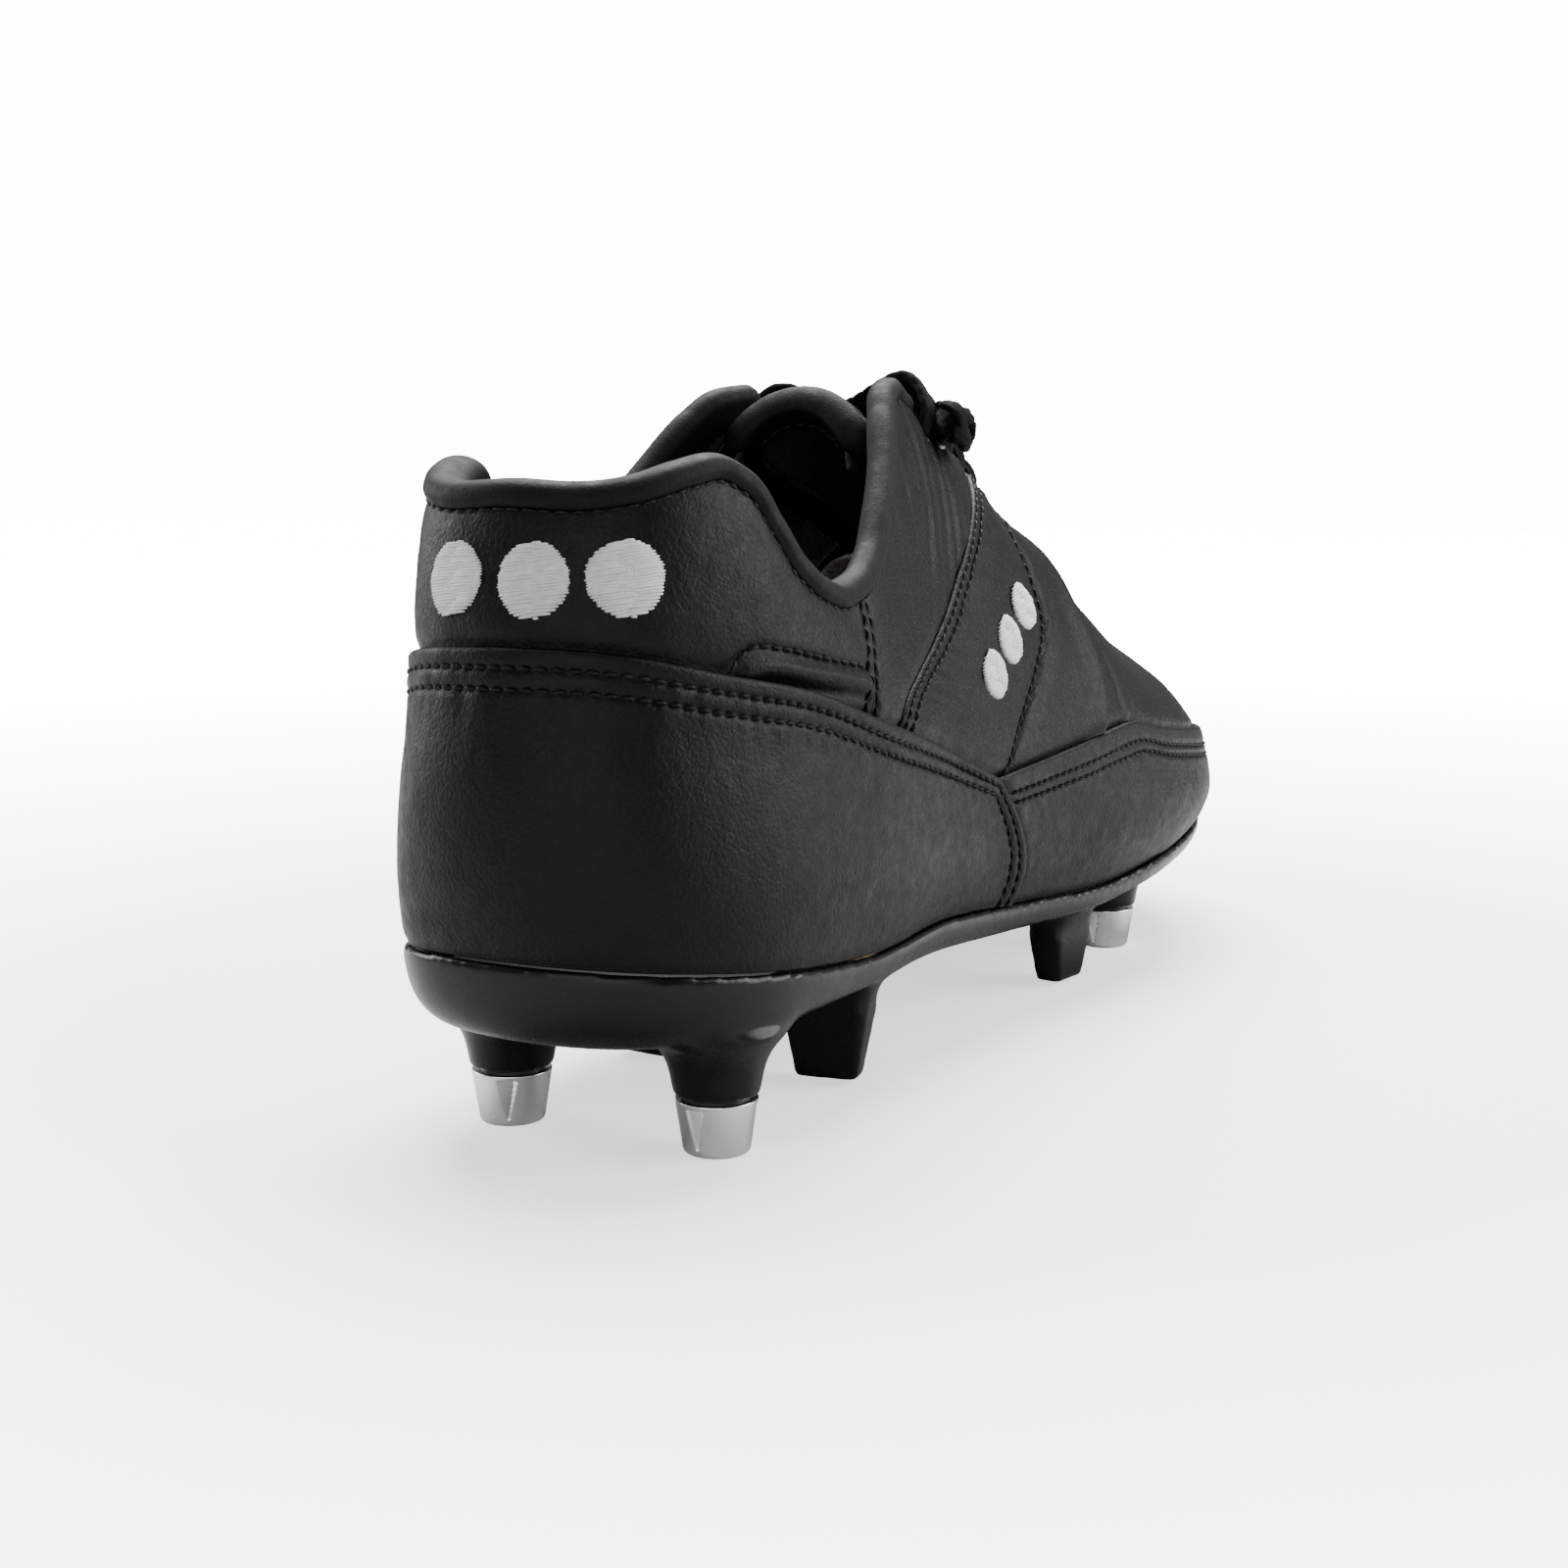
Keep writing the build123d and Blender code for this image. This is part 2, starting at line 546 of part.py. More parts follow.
def heel_layers():
    deep = LEATHER + LAYER_GAP
    reach = 0.135
    stiff_top = [(0.0, 68.0), (0.045, 66.0), (0.090, 60.0), (reach, 48.0)]
    stiff_deep = deep + STIFFENER_CLEARANCE
    shapes["heel_counter_stiffener"] = wall_piece(
        band_grid(medial(reach), reach, 0.02, round_heel(stiff_top), 0, 2 * ALONG), stiff_deep, stiff_deep + STIFFENER)

    collar_low = [(0.0, 71.0), (0.045, 70.0), (0.090, 67.0), (0.138, 61.0)]
    low = seam(round_heel(collar_low), 2 * ALONG)
    high = seam(round_heel(cut(CUT_EDGE, 0, 0.138)), 2 * ALONG, 0.012)
    high[:, 1] -= 0.024
    grid = coons(low, high, straight(low[0], high[0], ACROSS), straight(low[-1], high[-1], ACROSS))
    shapes["collar_foam"] = wall_piece(grid, deep, deep + FOAM)

    lining_end = 0.1385
    low = level(medial(lining_end), lining_end, 0.04, 2 * ALONG)
    high = seam(round_heel(cut(CUT_EDGE, 0, lining_end)), 2 * ALONG, -0.012)
    grid = coons(low, high, straight(low[0], high[0], ACROSS), straight(low[-1], high[-1], ACROSS))
    shapes["heel_lining"] = wall_piece(grid, HEEL_LINING_DEPTH, HEEL_LINING_DEPTH + LINING)


def side_layers():
    """Facing tape behind the eyelets, and the lining of each side."""
    count = 15
    for side in ("lateral", "medial"):
        flip = (lambda share: share) if side == "lateral" else (lambda share: 1 + medial(share))
        tape = coons(level(0.228, 0.300, 0.835, count), level(0.228, 0.300, 0.918, count),
                     straight([0.228, 0.835], [0.228, 0.918], 5), straight([0.300, 0.835], [0.300, 0.918], 5))
        tape[:, :, 0] = flip(tape[:, :, 0])
        deep = LEATHER + LAYER_GAP
        shapes[side + "_facing_tape"] = wall_piece(tape, deep, deep + TAPE)

        start, end = 0.1395, 0.311
        low = level(start, end, 0.04, 2 * count)
        rear = seam(cut(CUT_EDGE, start, 0.2215), count, -0.012)
        high = through(np.concatenate([rear, level(0.229, end, 0.918, count)]), 2 * count)
        grid = coons(low, ends_at(high, [start, rear[0, 1]], [end, 0.918]),
                     straight(low[0], [start, rear[0, 1]], ACROSS), straight(low[-1], [end, 0.918], ACROSS))
        grid[:, :, 0] = flip(grid[:, :, 0])
        shapes[side + "_lining"] = wall_piece(grid, FRONT_LINING_DEPTH, FRONT_LINING_DEPTH + LINING)


def toe_layers():
    start, end = 0.400, 1 + medial(0.400)
    deep = LEATHER + LAYER_GAP
    grid = coons(level(start, end, 0.04, ALONG), level(start, end, 0.36, ALONG),
                 straight([start, 0.04], [start, 0.36], 7), straight([end, 0.04], [end, 0.36], 7))
    shapes["toe_puff"] = wall_piece(grid, deep, deep + PUFF)

    start, end = 0.3125, 1 + medial(0.3125)
    low = level(start, end, 0.05, 2 * ALONG)
    seam_points = cut(MUDGUARD_SEAM, start, TOE_SHARE)
    high = seam(round_toe(seam_points), 2 * ALONG, -SEAM_GAP)
    grid = coons(low, ends_at(high, [start, high[0, 1]], [end, high[-1, 1]]),
                 straight(low[0], [start, high[0, 1]], 7), straight(low[-1], [end, high[-1, 1]], 7))
    shapes["mudguard_lining"] = wall_piece(grid, FRONT_LINING_DEPTH, FRONT_LINING_DEPTH + LINING)
    shapes["vamp_lining"] = top_piece(vamp_grid(3 * SEAM_GAP, 0.0090), FRONT_LINING_DEPTH,
                                      FRONT_LINING_DEPTH + LINING)


def collar_binding():
    """The rolled edge that closes leather, foam and lining along the collar."""
    count = 4
    for side in ("lateral", "medial"):
        flip = (lambda share: share) if side == "lateral" else (lambda share: 1 + medial(share))
        levels = []
        for lift in np.linspace(BINDING_GAP, BINDING_HEIGHT, count):
            raised = [(share, z + lift) for share, z in cut(CUT_EDGE, 0.0012, 0.2215)]
            levels.append(seam(raised, 2 * ALONG))
        grid = np.stack(levels, 1)
        heel_depth = HEEL_LINING_DEPTH + LINING
        side_depth = FRONT_LINING_DEPTH + LINING
        taper = np.interp(levels[0][:, 0], [0.1385, 0.1395], [heel_depth, side_depth])
        grid[:, :, 0] = flip(grid[:, :, 0])
        flat = grid.reshape(-1, 2)
        outer = last_at_depth(flat[:, 0], flat[:, 1], -0.5).reshape(*grid.shape[:2], 3)
        inner = last_at_depth(flat[:, 0], flat[:, 1], np.repeat(taper, count)).reshape(*grid.shape[:2], 3)
        shapes[side + "_collar_binding"] = solid_between(outer, inner)


# ---- embroidery ----
def patch_disc(share, z, radius):
    """A thin round patch of satin stitch on the outside of the leather."""
    rise = float(rise_at(share, z)[0])
    small = 1e-3
    here = last_point([share], [rise])[0]
    per_share = np.linalg.norm(last_point([share + small], [rise])[0] - here) / small
    per_rise = np.linalg.norm(last_point([share], [rise + small])[0] - here) / small
    side = np.linspace(-1, 1, 5)
    a, b = np.meshgrid(side, side, indexing="ij")
    across = a * np.sqrt(1 - b**2 / 2)
    up = b * np.sqrt(1 - a**2 / 2)
    grid = np.stack([share + across * radius / per_share, rise + up * radius / per_rise], 2)
    return wall_piece(grid, -EMBROIDERY_GAP - EMBROIDERY_THICKNESS, -EMBROIDERY_GAP)


def embroidery():
    shapes["heel_embroidery"] = [patch_disc(share, z, HEEL_DISC_RADIUS) for share, z in HEEL_DISCS]
    shapes["lateral_embroidery"] = [patch_disc(share, z, SIDE_DISC_RADIUS) for share, z in SIDE_DISCS]
    shapes["medial_embroidery"] = [patch_disc(1 + medial(share), z, SIDE_DISC_RADIUS) for share, z in SIDE_DISCS]


# ---- tongue ----
def tongue_point(way, turn, depth):
    """way: 0 at the top to 1 at the foot; turn: degrees round the arch from its middle."""
    way = np.atleast_1d(np.asarray(way, float))
    turn = np.radians(np.broadcast_to(np.asarray(turn, float), way.shape))
    apex = np.array(TONGUE_APEX, float)
    y = TONGUE_TOP_Y + (TONGUE_FOOT_Y - TONGUE_TOP_Y) * way
    z = smooth(apex[:, 0], apex[:, 1], y)[:, 0]
    half = np.interp(way, [0, 1], TONGUE_HALF_WIDTH)
    drop = np.interp(way, [0, 1], TONGUE_DROP)
    lean = np.interp(way, [0, 1], TONGUE_LEAN)
    fall = 1 - np.cos(turn)
    x = (half - depth) * np.sin(turn) + TONGUE_MIDDLE_X
    lift = drop * fall + depth * np.cos(turn) * math.cos(TONGUE_SLOPE)
    back = lean * fall + depth * np.cos(turn) * math.sin(TONGUE_SLOPE)
    return np.stack([x, y - back, z - lift], 1)


def tongue_layer(start, end, spread, outer_depth, inner_depth):
    ways, turns = np.meshgrid(np.linspace(start, end, 9), np.linspace(-spread, spread, 11), indexing="ij")
    layers = []
    for depth in (outer_depth, inner_depth):
        layers.append(tongue_point(ways.ravel(), turns.ravel(), depth).reshape(9, 11, 3))
    return solid_between(*layers)


def tongue():
    cover = 1.0
    foam_end = cover + LAYER_GAP + TONGUE_FOAM
    shapes["tongue_cover"] = tongue_layer(0.04, 0.95, TONGUE_SPREAD, 0, cover)
    shapes["tongue_foam"] = tongue_layer(0.04, 0.92, TONGUE_SPREAD - 6, cover + LAYER_GAP, foam_end)
    shapes["tongue_lining"] = tongue_layer(0.04, 0.94, TONGUE_SPREAD - 3, foam_end + LAYER_GAP,
                                           foam_end + LAYER_GAP + LINING)
    shapes["tongue_binding"] = tongue_layer(0, 0.036, TONGUE_SPREAD, 0, foam_end + LAYER_GAP + LINING)


# ---- laces ----
def facing_place(row, toward, side, share_of_way, rise, clearance):
    """A place over the facing on the way from one eyelet row to another, and the outward direction there."""
    share = LACE_SHARES[row] + (LACE_SHARES[toward] - LACE_SHARES[row]) * share_of_way
    share = np.array([share if side > 0 else 1 + medial(share)])
    rise = np.array([rise])
    point = last_at_depth(share, rise, np.array([-clearance]))[0]
    outward = unit(point - last_at_depth(share, rise, np.array([0.0]))[0])
    return point, outward


def lace_strip(lateral_row, medial_row, lift):
    """A flat strand from an eyelet, over both edges of the throat, to an eyelet of the other side."""
    places = []
    for side, row, toward in ((1, lateral_row, medial_row), (-1, medial_row, lateral_row)):
        places.append((facing_place(row, toward, side, 0.0, EYELET_RISE, LACE_CLEARANCE + lift),
                       facing_place(row, toward, side, 0.12, EDGE_RISE, EDGE_CLEARANCE + lift)))
    (start, first_edge), (end, last_edge) = places
    middle_y = (first_edge[0][1] + last_edge[0][1]) / 2
    apex = np.array(TONGUE_APEX, float)
    height = smooth(apex[:, 0], apex[:, 1], middle_y)[0, 0]
    middle = np.array([(first_edge[0][0] + last_edge[0][0]) / 2, middle_y, height + LACE_OVER_TONGUE + lift])
    tongue_up = np.array([0.0, math.sin(TONGUE_SLOPE), math.cos(TONGUE_SLOPE)])
    knots = [0, 0.17, 0.5, 0.83, 1]
    t = np.linspace(0, 1, 11)
    centre = smooth(knots, [start[0], first_edge[0], middle, last_edge[0], end[0]], t)
    normal = smooth(knots, [start[1], first_edge[1], tongue_up, last_edge[1], end[1]], t)
    along = unit(np.gradient(centre, axis=0))
    across = unit(np.cross(normal, along))
    normal = unit(np.cross(along, across))
    layers = []
    for height in (LACE_THICKNESS, 0.0):
        layers.append(np.stack([centre + across * side + normal * height
                                for side in (-LACE_WIDTH / 2, LACE_WIDTH / 2)], 1))
    return solid_between(*layers)


def laces():
    """Two layers of strands that cross, each from one eyelet row to the next."""
    strands = []
    for row in range(len(LACE_SHARES) - 1, 0, -1):
        strands.append(lace_strip(row, row - 1, 0.0))
        strands.append(lace_strip(row - 1, row, LACE_THICKNESS + LACE_GAP))
    shapes["lace"] = strands


# ---- plate, board and sockliner ----
def outline_face(inset):
    """Plan outline of the feather line moved inwards by inset, as a flat face on z = 0."""
    shares = np.linspace(0, 1, 37)[:-1]
    point = feather(shares)
    way = unit(feather(shares + 1e-3) - feather(shares - 1e-3))
    inward = np.stack([-way[:, 1], way[:, 0]], 1)
    moved = point + inward * inset
    edge = Edge.make_spline([Vector(float(x), float(y), 0) for x, y in moved], periodic=True)
    return Face(Wire([edge]))


def height_slab(low_z, high_z, start_y, end_y):
    """A slab as wide as the boot whose lower and upper heights follow functions of y."""
    ys = np.linspace(start_y, end_y, 11)
    low = [Vector(0, float(y), float(low_z(np.array([y]))[0])) for y in ys]
    high = [Vector(0, float(y), float(high_z(np.array([y]))[0])) for y in ys]
    bottom = Edge.make_spline(low)
    top = Edge.make_spline(high)
    rear = Edge.make_line(low[0], high[0])
    front = Edge.make_line(low[-1], high[-1])
    side = Face(Wire([bottom, front, top, rear]))
    return Solid.extrude(side.moved(Location((-70, 0, 0))), Vector(140, 0, 0))


def layer(inset, low_z, high_z):
    """What lies inside the outline moved in by inset, between two heights."""
    block = Solid.extrude(outline_face(inset), Vector(0, 0, 60))
    return (block & height_slab(low_z, high_z, -8, 276)).solids()[0]


def floor_z(y):
    return underside_z(y) + PLATE_THICKNESS


def boss_height(x, y):
    return float(underside_z(np.array([y]))[0]) + 1.0


def boss(x, y):
    """A flared post from the plate down to the stud's top."""
    top = boss_height(x, y)
    with BuildPart() as post:
        with BuildSketch(Plane.XZ) as _:
            with BuildLine() as _:
                Line((0, STUD_HEIGHT), (STUD_TOP_RADIUS + 0.2, STUD_HEIGHT))
                Spline((STUD_TOP_RADIUS + 0.2, STUD_HEIGHT), (STUD_TOP_RADIUS + 1.6, (STUD_HEIGHT + top) / 2),
                       (STUD_TOP_RADIUS + BOSS_FLARE, top))
                Line((STUD_TOP_RADIUS + BOSS_FLARE, top), (0, top))
                Line((0, top), (0, STUD_HEIGHT))
            make_face()
        revolve(axis=Axis.Z)
    return post.part.solids()[0].moved(Location((x, y, 0)))


def blade(x, y, turn, length, width):
    """A moulded blade: a tapered block with rounded corners."""
    top = boss_height(x, y) + 0.8
    spread = 1.2
    lower = Plane(origin=(0, 0, BLADE_FOOT_Z)) * RectangleRounded(length * 0.72, width * 0.72, 1.0)
    upper = Plane(origin=(0, 0, top)) * RectangleRounded(length * spread, width * spread, 1.8)
    body = loft([lower.faces()[0], upper.faces()[0]])
    return body.solids()[0].moved(Location((x, y, 0), (0, 0, turn)))


def soleplate():
    outer = layer(-PLATE_LIP, underside_z, lambda y: rim_z(y) - LAYER_GAP)
    lower_edges = [edge for edge in outer.edges() if edge.length > 200 and lies_under(edge)]
    try:
        outer = outer.fillet(PLATE_EDGE_FILLET, lower_edges)
    except ValueError:
        print("plate edge left sharp")
    plate = outer
    for x, y in STUDS.values():
        plate = plate + boss(x, y)
    for place in BLADES.values():
        plate = plate + blade(*place)
    plate = plate - layer(PLATE_WALL, floor_z, lambda y: rim_z(y) + 5)
    for x, y in STUDS.values():
        plate = plate - insert_space(x, y)
    shapes["soleplate"] = plate.solids()[0]


def lies_under(edge):
    middle = edge.position_at(0.5)
    height = float(underside_z(np.array([middle.Y]))[0])
    return abs(middle.Z - height) < 0.6


def insert_space(x, y):
    """The pocket of a threaded insert, and the clearance hole that leads down from it."""
    low = STUD_HEIGHT + WASHER_THICKNESS
    pocket = Solid.make_cylinder(INSERT_RADIUS, INSERT_LENGTH, Plane((x, y, low)))
    hole = Solid.make_cylinder(PIN_RADIUS + HOLE_CLEARANCE, 2, Plane((x, y, low - 1)))
    return pocket + hole


def footbed():
    shapes["insole_board"] = layer(PLATE_WALL + 0.6, lambda y: floor_z(y) + LAYER_GAP,
                                   lambda y: floor_z(y) + LAYER_GAP + BOARD_THICKNESS)
    low = 2 * LAYER_GAP + BOARD_THICKNESS
    shapes["sockliner"] = layer(6.3, lambda y: floor_z(y) + low, lambda y: floor_z(y) + low + SOCKLINER_THICKNESS)


# ---- screw-in studs ----
def stud_tip(x, y):
    """Aluminium stud: a truncated cone with three spanner notches and a blind hole for its pin."""
    cone = Solid.make_cone(STUD_FOOT_RADIUS, STUD_TOP_RADIUS, STUD_HEIGHT - WASHER_THICKNESS, Plane((0, 0, 0)))
    foot = cone.edges().sort_by(Axis.Z)[0]
    cone = cone.chamfer(STUD_FOOT_CHAMFER, None, [foot])
    for turn in (0, 120, 240):
        notch = Solid.make_cone(NOTCH_FOOT_RADIUS, NOTCH_TOP_RADIUS, NOTCH_HEIGHT,
                                Plane((STUD_FOOT_RADIUS + 0.9, 0, NOTCH_START)))
        cone = cone - notch.rotate(Axis.Z, turn + 25)
    hole = Solid.make_cylinder(PIN_RADIUS, PIN_IN_STUD, Plane((0, 0, STUD_HEIGHT - WASHER_THICKNESS - PIN_IN_STUD)))
    return (cone - hole).solids()[0].moved(Location((x, y, 0)))


def stud_pin(x, y):
    start = STUD_HEIGHT - WASHER_THICKNESS - PIN_IN_STUD
    return Solid.make_cylinder(PIN_RADIUS, PIN_IN_STUD + WASHER_THICKNESS + PIN_LENGTH, Plane((x, y, start)))


def lock_washer(x, y):
    low = STUD_HEIGHT - WASHER_THICKNESS
    plane = Plane((x, y, low))
    ring = Solid.make_cylinder(WASHER_RADIUS, WASHER_THICKNESS, plane)
    return (ring - Solid.make_cylinder(PIN_RADIUS + RUNNING_FIT, WASHER_THICKNESS, plane)).solids()[0]


def stud_insert(x, y):
    low = STUD_HEIGHT + WASHER_THICKNESS
    body = Solid.make_cylinder(INSERT_RADIUS, INSERT_LENGTH, Plane((x, y, low)))
    bore_plane = Plane((x, y, low - 0.01))
    bore = Solid.make_cylinder(PIN_RADIUS + RUNNING_FIT, INSERT_LENGTH - INSERT_CAP, bore_plane)
    return (body - bore).solids()[0]


def studs():
    shapes["stud_inserts"] = [stud_insert(x, y) for x, y in STUDS.values()]
    for name, (x, y) in STUDS.items():
        shapes[name + "_stud"] = stud_tip(x, y)
        shapes[name + "_stud_pin"] = stud_pin(x, y)
        shapes[name + "_lock_washer"] = lock_washer(x, y)


def export_all():
    """One file per node, moved so that the origin is under the middle of the boot."""
    move = Location((-MIDDLE_X, -MIDDLE_Y, 0))
    os.makedirs("parts", exist_ok=True)
    for name, made in shapes.items():
        solids = made if isinstance(made, list) else [made]
        moved = [solid.moved(move) for solid in solids]
        whole = moved[0] if len(moved) == 1 else Compound(children=moved)
        export_step(whole, f"parts/{name}.step")


soleplate()
footbed()
studs()
heel_covers()
side_panels()
front_covers()
heel_layers()
side_layers()
toe_layers()
collar_binding()
embroidery()
tongue()
laces()
export_all()
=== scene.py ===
import math

import bmesh
import bpy
import numpy as np
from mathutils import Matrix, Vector


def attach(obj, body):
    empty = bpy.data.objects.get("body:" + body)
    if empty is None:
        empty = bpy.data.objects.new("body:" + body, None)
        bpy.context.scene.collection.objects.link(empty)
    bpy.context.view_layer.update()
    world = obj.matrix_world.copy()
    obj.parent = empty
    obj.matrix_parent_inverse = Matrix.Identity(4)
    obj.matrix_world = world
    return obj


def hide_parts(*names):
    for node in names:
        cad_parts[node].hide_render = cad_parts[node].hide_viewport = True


# Looks of a right-foot football boot. Everything is worked out in millimetres in the part's own
# modelling places and turned into metres in the shared frame by to_frame(). Every place on the upper
# is a share of the way round the feather line (0 at the heel, TOE_SHARE at the toe, on round the
# medial side to 1) and a rise up the wall, from the sole (0) to the ridge over the instep (1).
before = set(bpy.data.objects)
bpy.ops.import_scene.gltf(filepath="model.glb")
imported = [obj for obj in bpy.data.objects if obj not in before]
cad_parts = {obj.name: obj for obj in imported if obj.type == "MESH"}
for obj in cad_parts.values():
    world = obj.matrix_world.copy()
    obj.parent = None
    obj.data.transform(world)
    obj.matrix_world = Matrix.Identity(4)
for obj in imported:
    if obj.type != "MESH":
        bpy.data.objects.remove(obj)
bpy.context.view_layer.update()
random = np.random.default_rng(11)

MIDDLE_X = -0.92
MIDDLE_Y = 133.09
TOE_SHARE = 0.505
LEATHER = 1.3
FOAM = 3.0
LINING = 0.7
HEEL_LINING_DEPTH = 4.6
FRONT_LINING_DEPTH = 2.4
BINDING_HEIGHT = 2.6

# ---- the last: the shape that the upper is pulled over ----
FEATHER = [                 # (share, x, y)
    (0.000, -2.0, 1.0), (0.045, 18.0, 6.5), (0.090, 29.0, 24.0), (0.140, 31.5, 54.0),
    (0.200, 31.0, 88.0), (0.260, 33.5, 121.0), (0.315, 39.0, 152.0), (0.365, 43.0, 182.0),
    (0.410, 40.5, 211.0), (0.450, 30.0, 238.0), (0.480, 15.0, 257.0), (0.505, -5.0, 267.0),
    (0.530, -23.0, 261.0), (0.560, -37.0, 240.0), (0.600, -44.5, 211.0), (0.640, -45.0, 182.0),
    (0.690, -38.0, 152.0), (0.745, -31.0, 121.0), (0.805, -31.0, 88.0), (0.865, -34.0, 54.0),
    (0.915, -33.0, 24.0), (0.957, -22.0, 6.5),
]
SPINE_Y = [                 # (share, y) of the point on the ridge that faces each share
    (0.000, 38), (0.090, 40), (0.140, 56), (0.200, 88), (0.260, 120), (0.315, 149), (0.365, 176),
    (0.410, 200), (0.450, 219), (0.480, 229), (0.505, 232), (0.530, 229), (0.560, 219),
    (0.600, 200), (0.640, 177), (0.690, 149), (0.745, 120), (0.805, 88), (0.865, 56), (0.915, 40),
]
RIDGE_X = [(38, -2.0), (120, -1.0), (149, -2.0), (176, -3.0), (232, -5.0)]
RIM_Z = [                   # (y, z) of the feather line
    (1, 32.0), (24, 29.0), (54, 25.7), (88, 25.3), (121, 22.8), (152, 21.5), (182, 24.0),
    (211, 26.5), (238, 29.0), (257, 30.5), (267, 31.0),
]
UNDERSIDE_Z = [             # (y, z) of the middle of the plate's underside
    (-3, 18.5), (50, 18.5), (88, 18.4), (120, 16.6), (152, 15.8), (182, 18.2), (211, 20.6),
    (238, 23.2), (257, 25.2), (271, 26.4),
]
RISE_KNOTS = [0.0, 0.17, 0.34, 0.50, 0.67, 0.84, 1.0]
WALLS = {                   # share: (share of the way in to the ridge, z) at each rise knot
    0.000: [(0, 32.0), (-0.060, 44), (-0.075, 58), (-0.020, 75), (0.05, 90), (0.12, 104), (0.28, 122)],
    0.090: [(0, 29.0), (-0.025, 42), (0.012, 56), (0.078, 72), (0.12, 90), (0.22, 105), (0.42, 123)],
    0.140: [(0, 25.7), (-0.070, 38), (-0.060, 52), (-0.010, 68), (0.09, 85), (0.22, 104), (0.46, 128)],
    0.200: [(0, 25.3), (-0.090, 36), (-0.080, 48), (0.000, 63), (0.12, 82), (0.26, 103), (0.64, 133)],
    0.260: [(0, 22.8), (-0.090, 33), (-0.090, 46), (-0.010, 61), (0.13, 79), (0.38, 101), (0.80, 117.5)],
    0.315: [(0, 21.5), (-0.090, 31), (-0.090, 42), (-0.010, 56), (0.15, 72), (0.44, 88), (1, 97.5)],
    0.365: [(0, 24.0), (-0.075, 32), (-0.060, 40), (0.020, 51), (0.20, 63), (0.50, 74), (1, 79.5)],
    0.410: [(0, 26.5), (-0.060, 33), (-0.040, 40), (0.040, 48.5), (0.22, 58), (0.54, 65.5), (1, 69)],
    0.450: [(0, 29.0), (-0.050, 34), (-0.030, 40), (0.060, 47), (0.25, 53.5), (0.56, 58.5), (1, 61)],
    0.480: [(0, 30.5), (-0.040, 35), (-0.020, 39.5), (0.070, 45), (0.28, 50.5), (0.60, 54.5), (1, 57)],
    0.505: [(0, 31.0), (-0.030, 35), (-0.010, 39.5), (0.080, 44.5), (0.29, 49.5), (0.60, 53.5), (1, 56)],
}
CLOSED_RIDGE = (0.85, 1.0)  # the ridge rounds over where a wall ends between these shares of the way in

# ---- seams: (share, z) on the lateral side; the medial side mirrors them ----
TOPLINE = [
    (0.000, 101.7), (0.028, 101.3), (0.045, 102.3), (0.065, 104.4), (0.080, 105.4), (0.091, 103.5),
    (0.102, 97.3), (0.113, 90.4), (0.1225, 87.2), (0.1315, 85.9), (0.143, 87.1), (0.157, 90.9),
    (0.170, 97.7), (0.184, 105.7), (0.198, 114.0), (0.210, 118.3), (0.222, 119.4),
]
CUT_EDGE = [(share, z - BINDING_HEIGHT) for share, z in TOPLINE]
COUNTER_SEAM = [
    (0.000, 77.7), (0.028, 77.3), (0.076, 73.5), (0.108, 70.3), (0.143, 63.6), (0.186, 56.8), (0.227, 48.5),
]
COUNTER_FRONT = [(0.227, 48.5), (0.237, 41.9), (0.244, 35.9), (0.248, 30.2), (0.249, 23.5)]
MUDGUARD_SEAM = [
    (0.227, 48.5), (0.256, 49.6), (0.283, 51.0), (0.313, 52.9), (0.328, 53.3), (0.349, 51.2),
    (0.380, 48.8), (0.420, 46.2), (0.460, 44.2), (0.505, 43.4),
]
COLLAR_FRONT = [(0.1400, 64.2), (0.1417, 70.7), (0.1437, 76.0), (0.1437, 81.2), (0.1445, 84.8)]
BAND_REAR = [(0.158, 61.2), (0.164, 64.0), (0.1973, 69.6), (0.2287, 77.7), (0.261, 86.1), (0.284, 93.5)]
BAND_FRONT = [
    (0.236, 48.9), (0.253, 55.8), (0.264, 59.9), (0.2753, 64.4), (0.2834, 68.1), (0.2874, 73.0),
    (0.2890, 79.0), (0.2930, 86.0), (0.2960, 91.0),
]
OVERLAY_EDGE = [(0.304, 52.3), (0.3085, 57.0), (0.3105, 63.0), (0.3115, 69.3), (0.3125, 78.0), (0.3140, 89.5)]
THROAT_RISE = 0.93          # rise of the facing's edge beside the throat
VAMP_REAR_Y = 163.0         # where the throat ends on the ridge

# ---- embroidered discs: (share, z) ----
HEEL_DISCS = [(-0.0185, 87.0), (0.0111, 87.0), (0.0405, 87.4)]
SIDE_DISCS = [(0.2348, 66.4), (0.2510, 71.9), (0.2680, 77.3)]
HEEL_DISC_RADIUS = 5.4
SIDE_DISC_RADIUS = 4.3
EMBROIDERY_THICKNESS = 0.5

# ---- the last as a surface ----
def smooth(knots, rows, x, period=None):
    """Cubic through rows at knots, with weighted slopes; period joins the end to the start."""
    at = np.asarray(knots, float)
    values = np.asarray(rows, float).reshape(len(at), -1)
    x = np.atleast_1d(np.asarray(x, float))
    if period:
        x = np.mod(x, period)
        at = np.concatenate([at[-2:] - period, at, at[:2] + period])
        values = np.concatenate([values[-2:], values, values[:2]])
    step = np.diff(at)[:, None]
    slope = np.diff(values, axis=0) / step
    inner = (slope[:-1] * step[1:] + slope[1:] * step[:-1]) / (step[1:] + step[:-1])
    slopes = np.vstack([slope[:1], inner, slope[-1:]])
    i = np.clip(np.searchsorted(at, x, side="right") - 1, 0, len(at) - 2)
    width = (at[i + 1] - at[i])[:, None]
    t = (x - at[i])[:, None] / width
    return hermite(t, width, values[i], slopes[i], values[i + 1], slopes[i + 1])


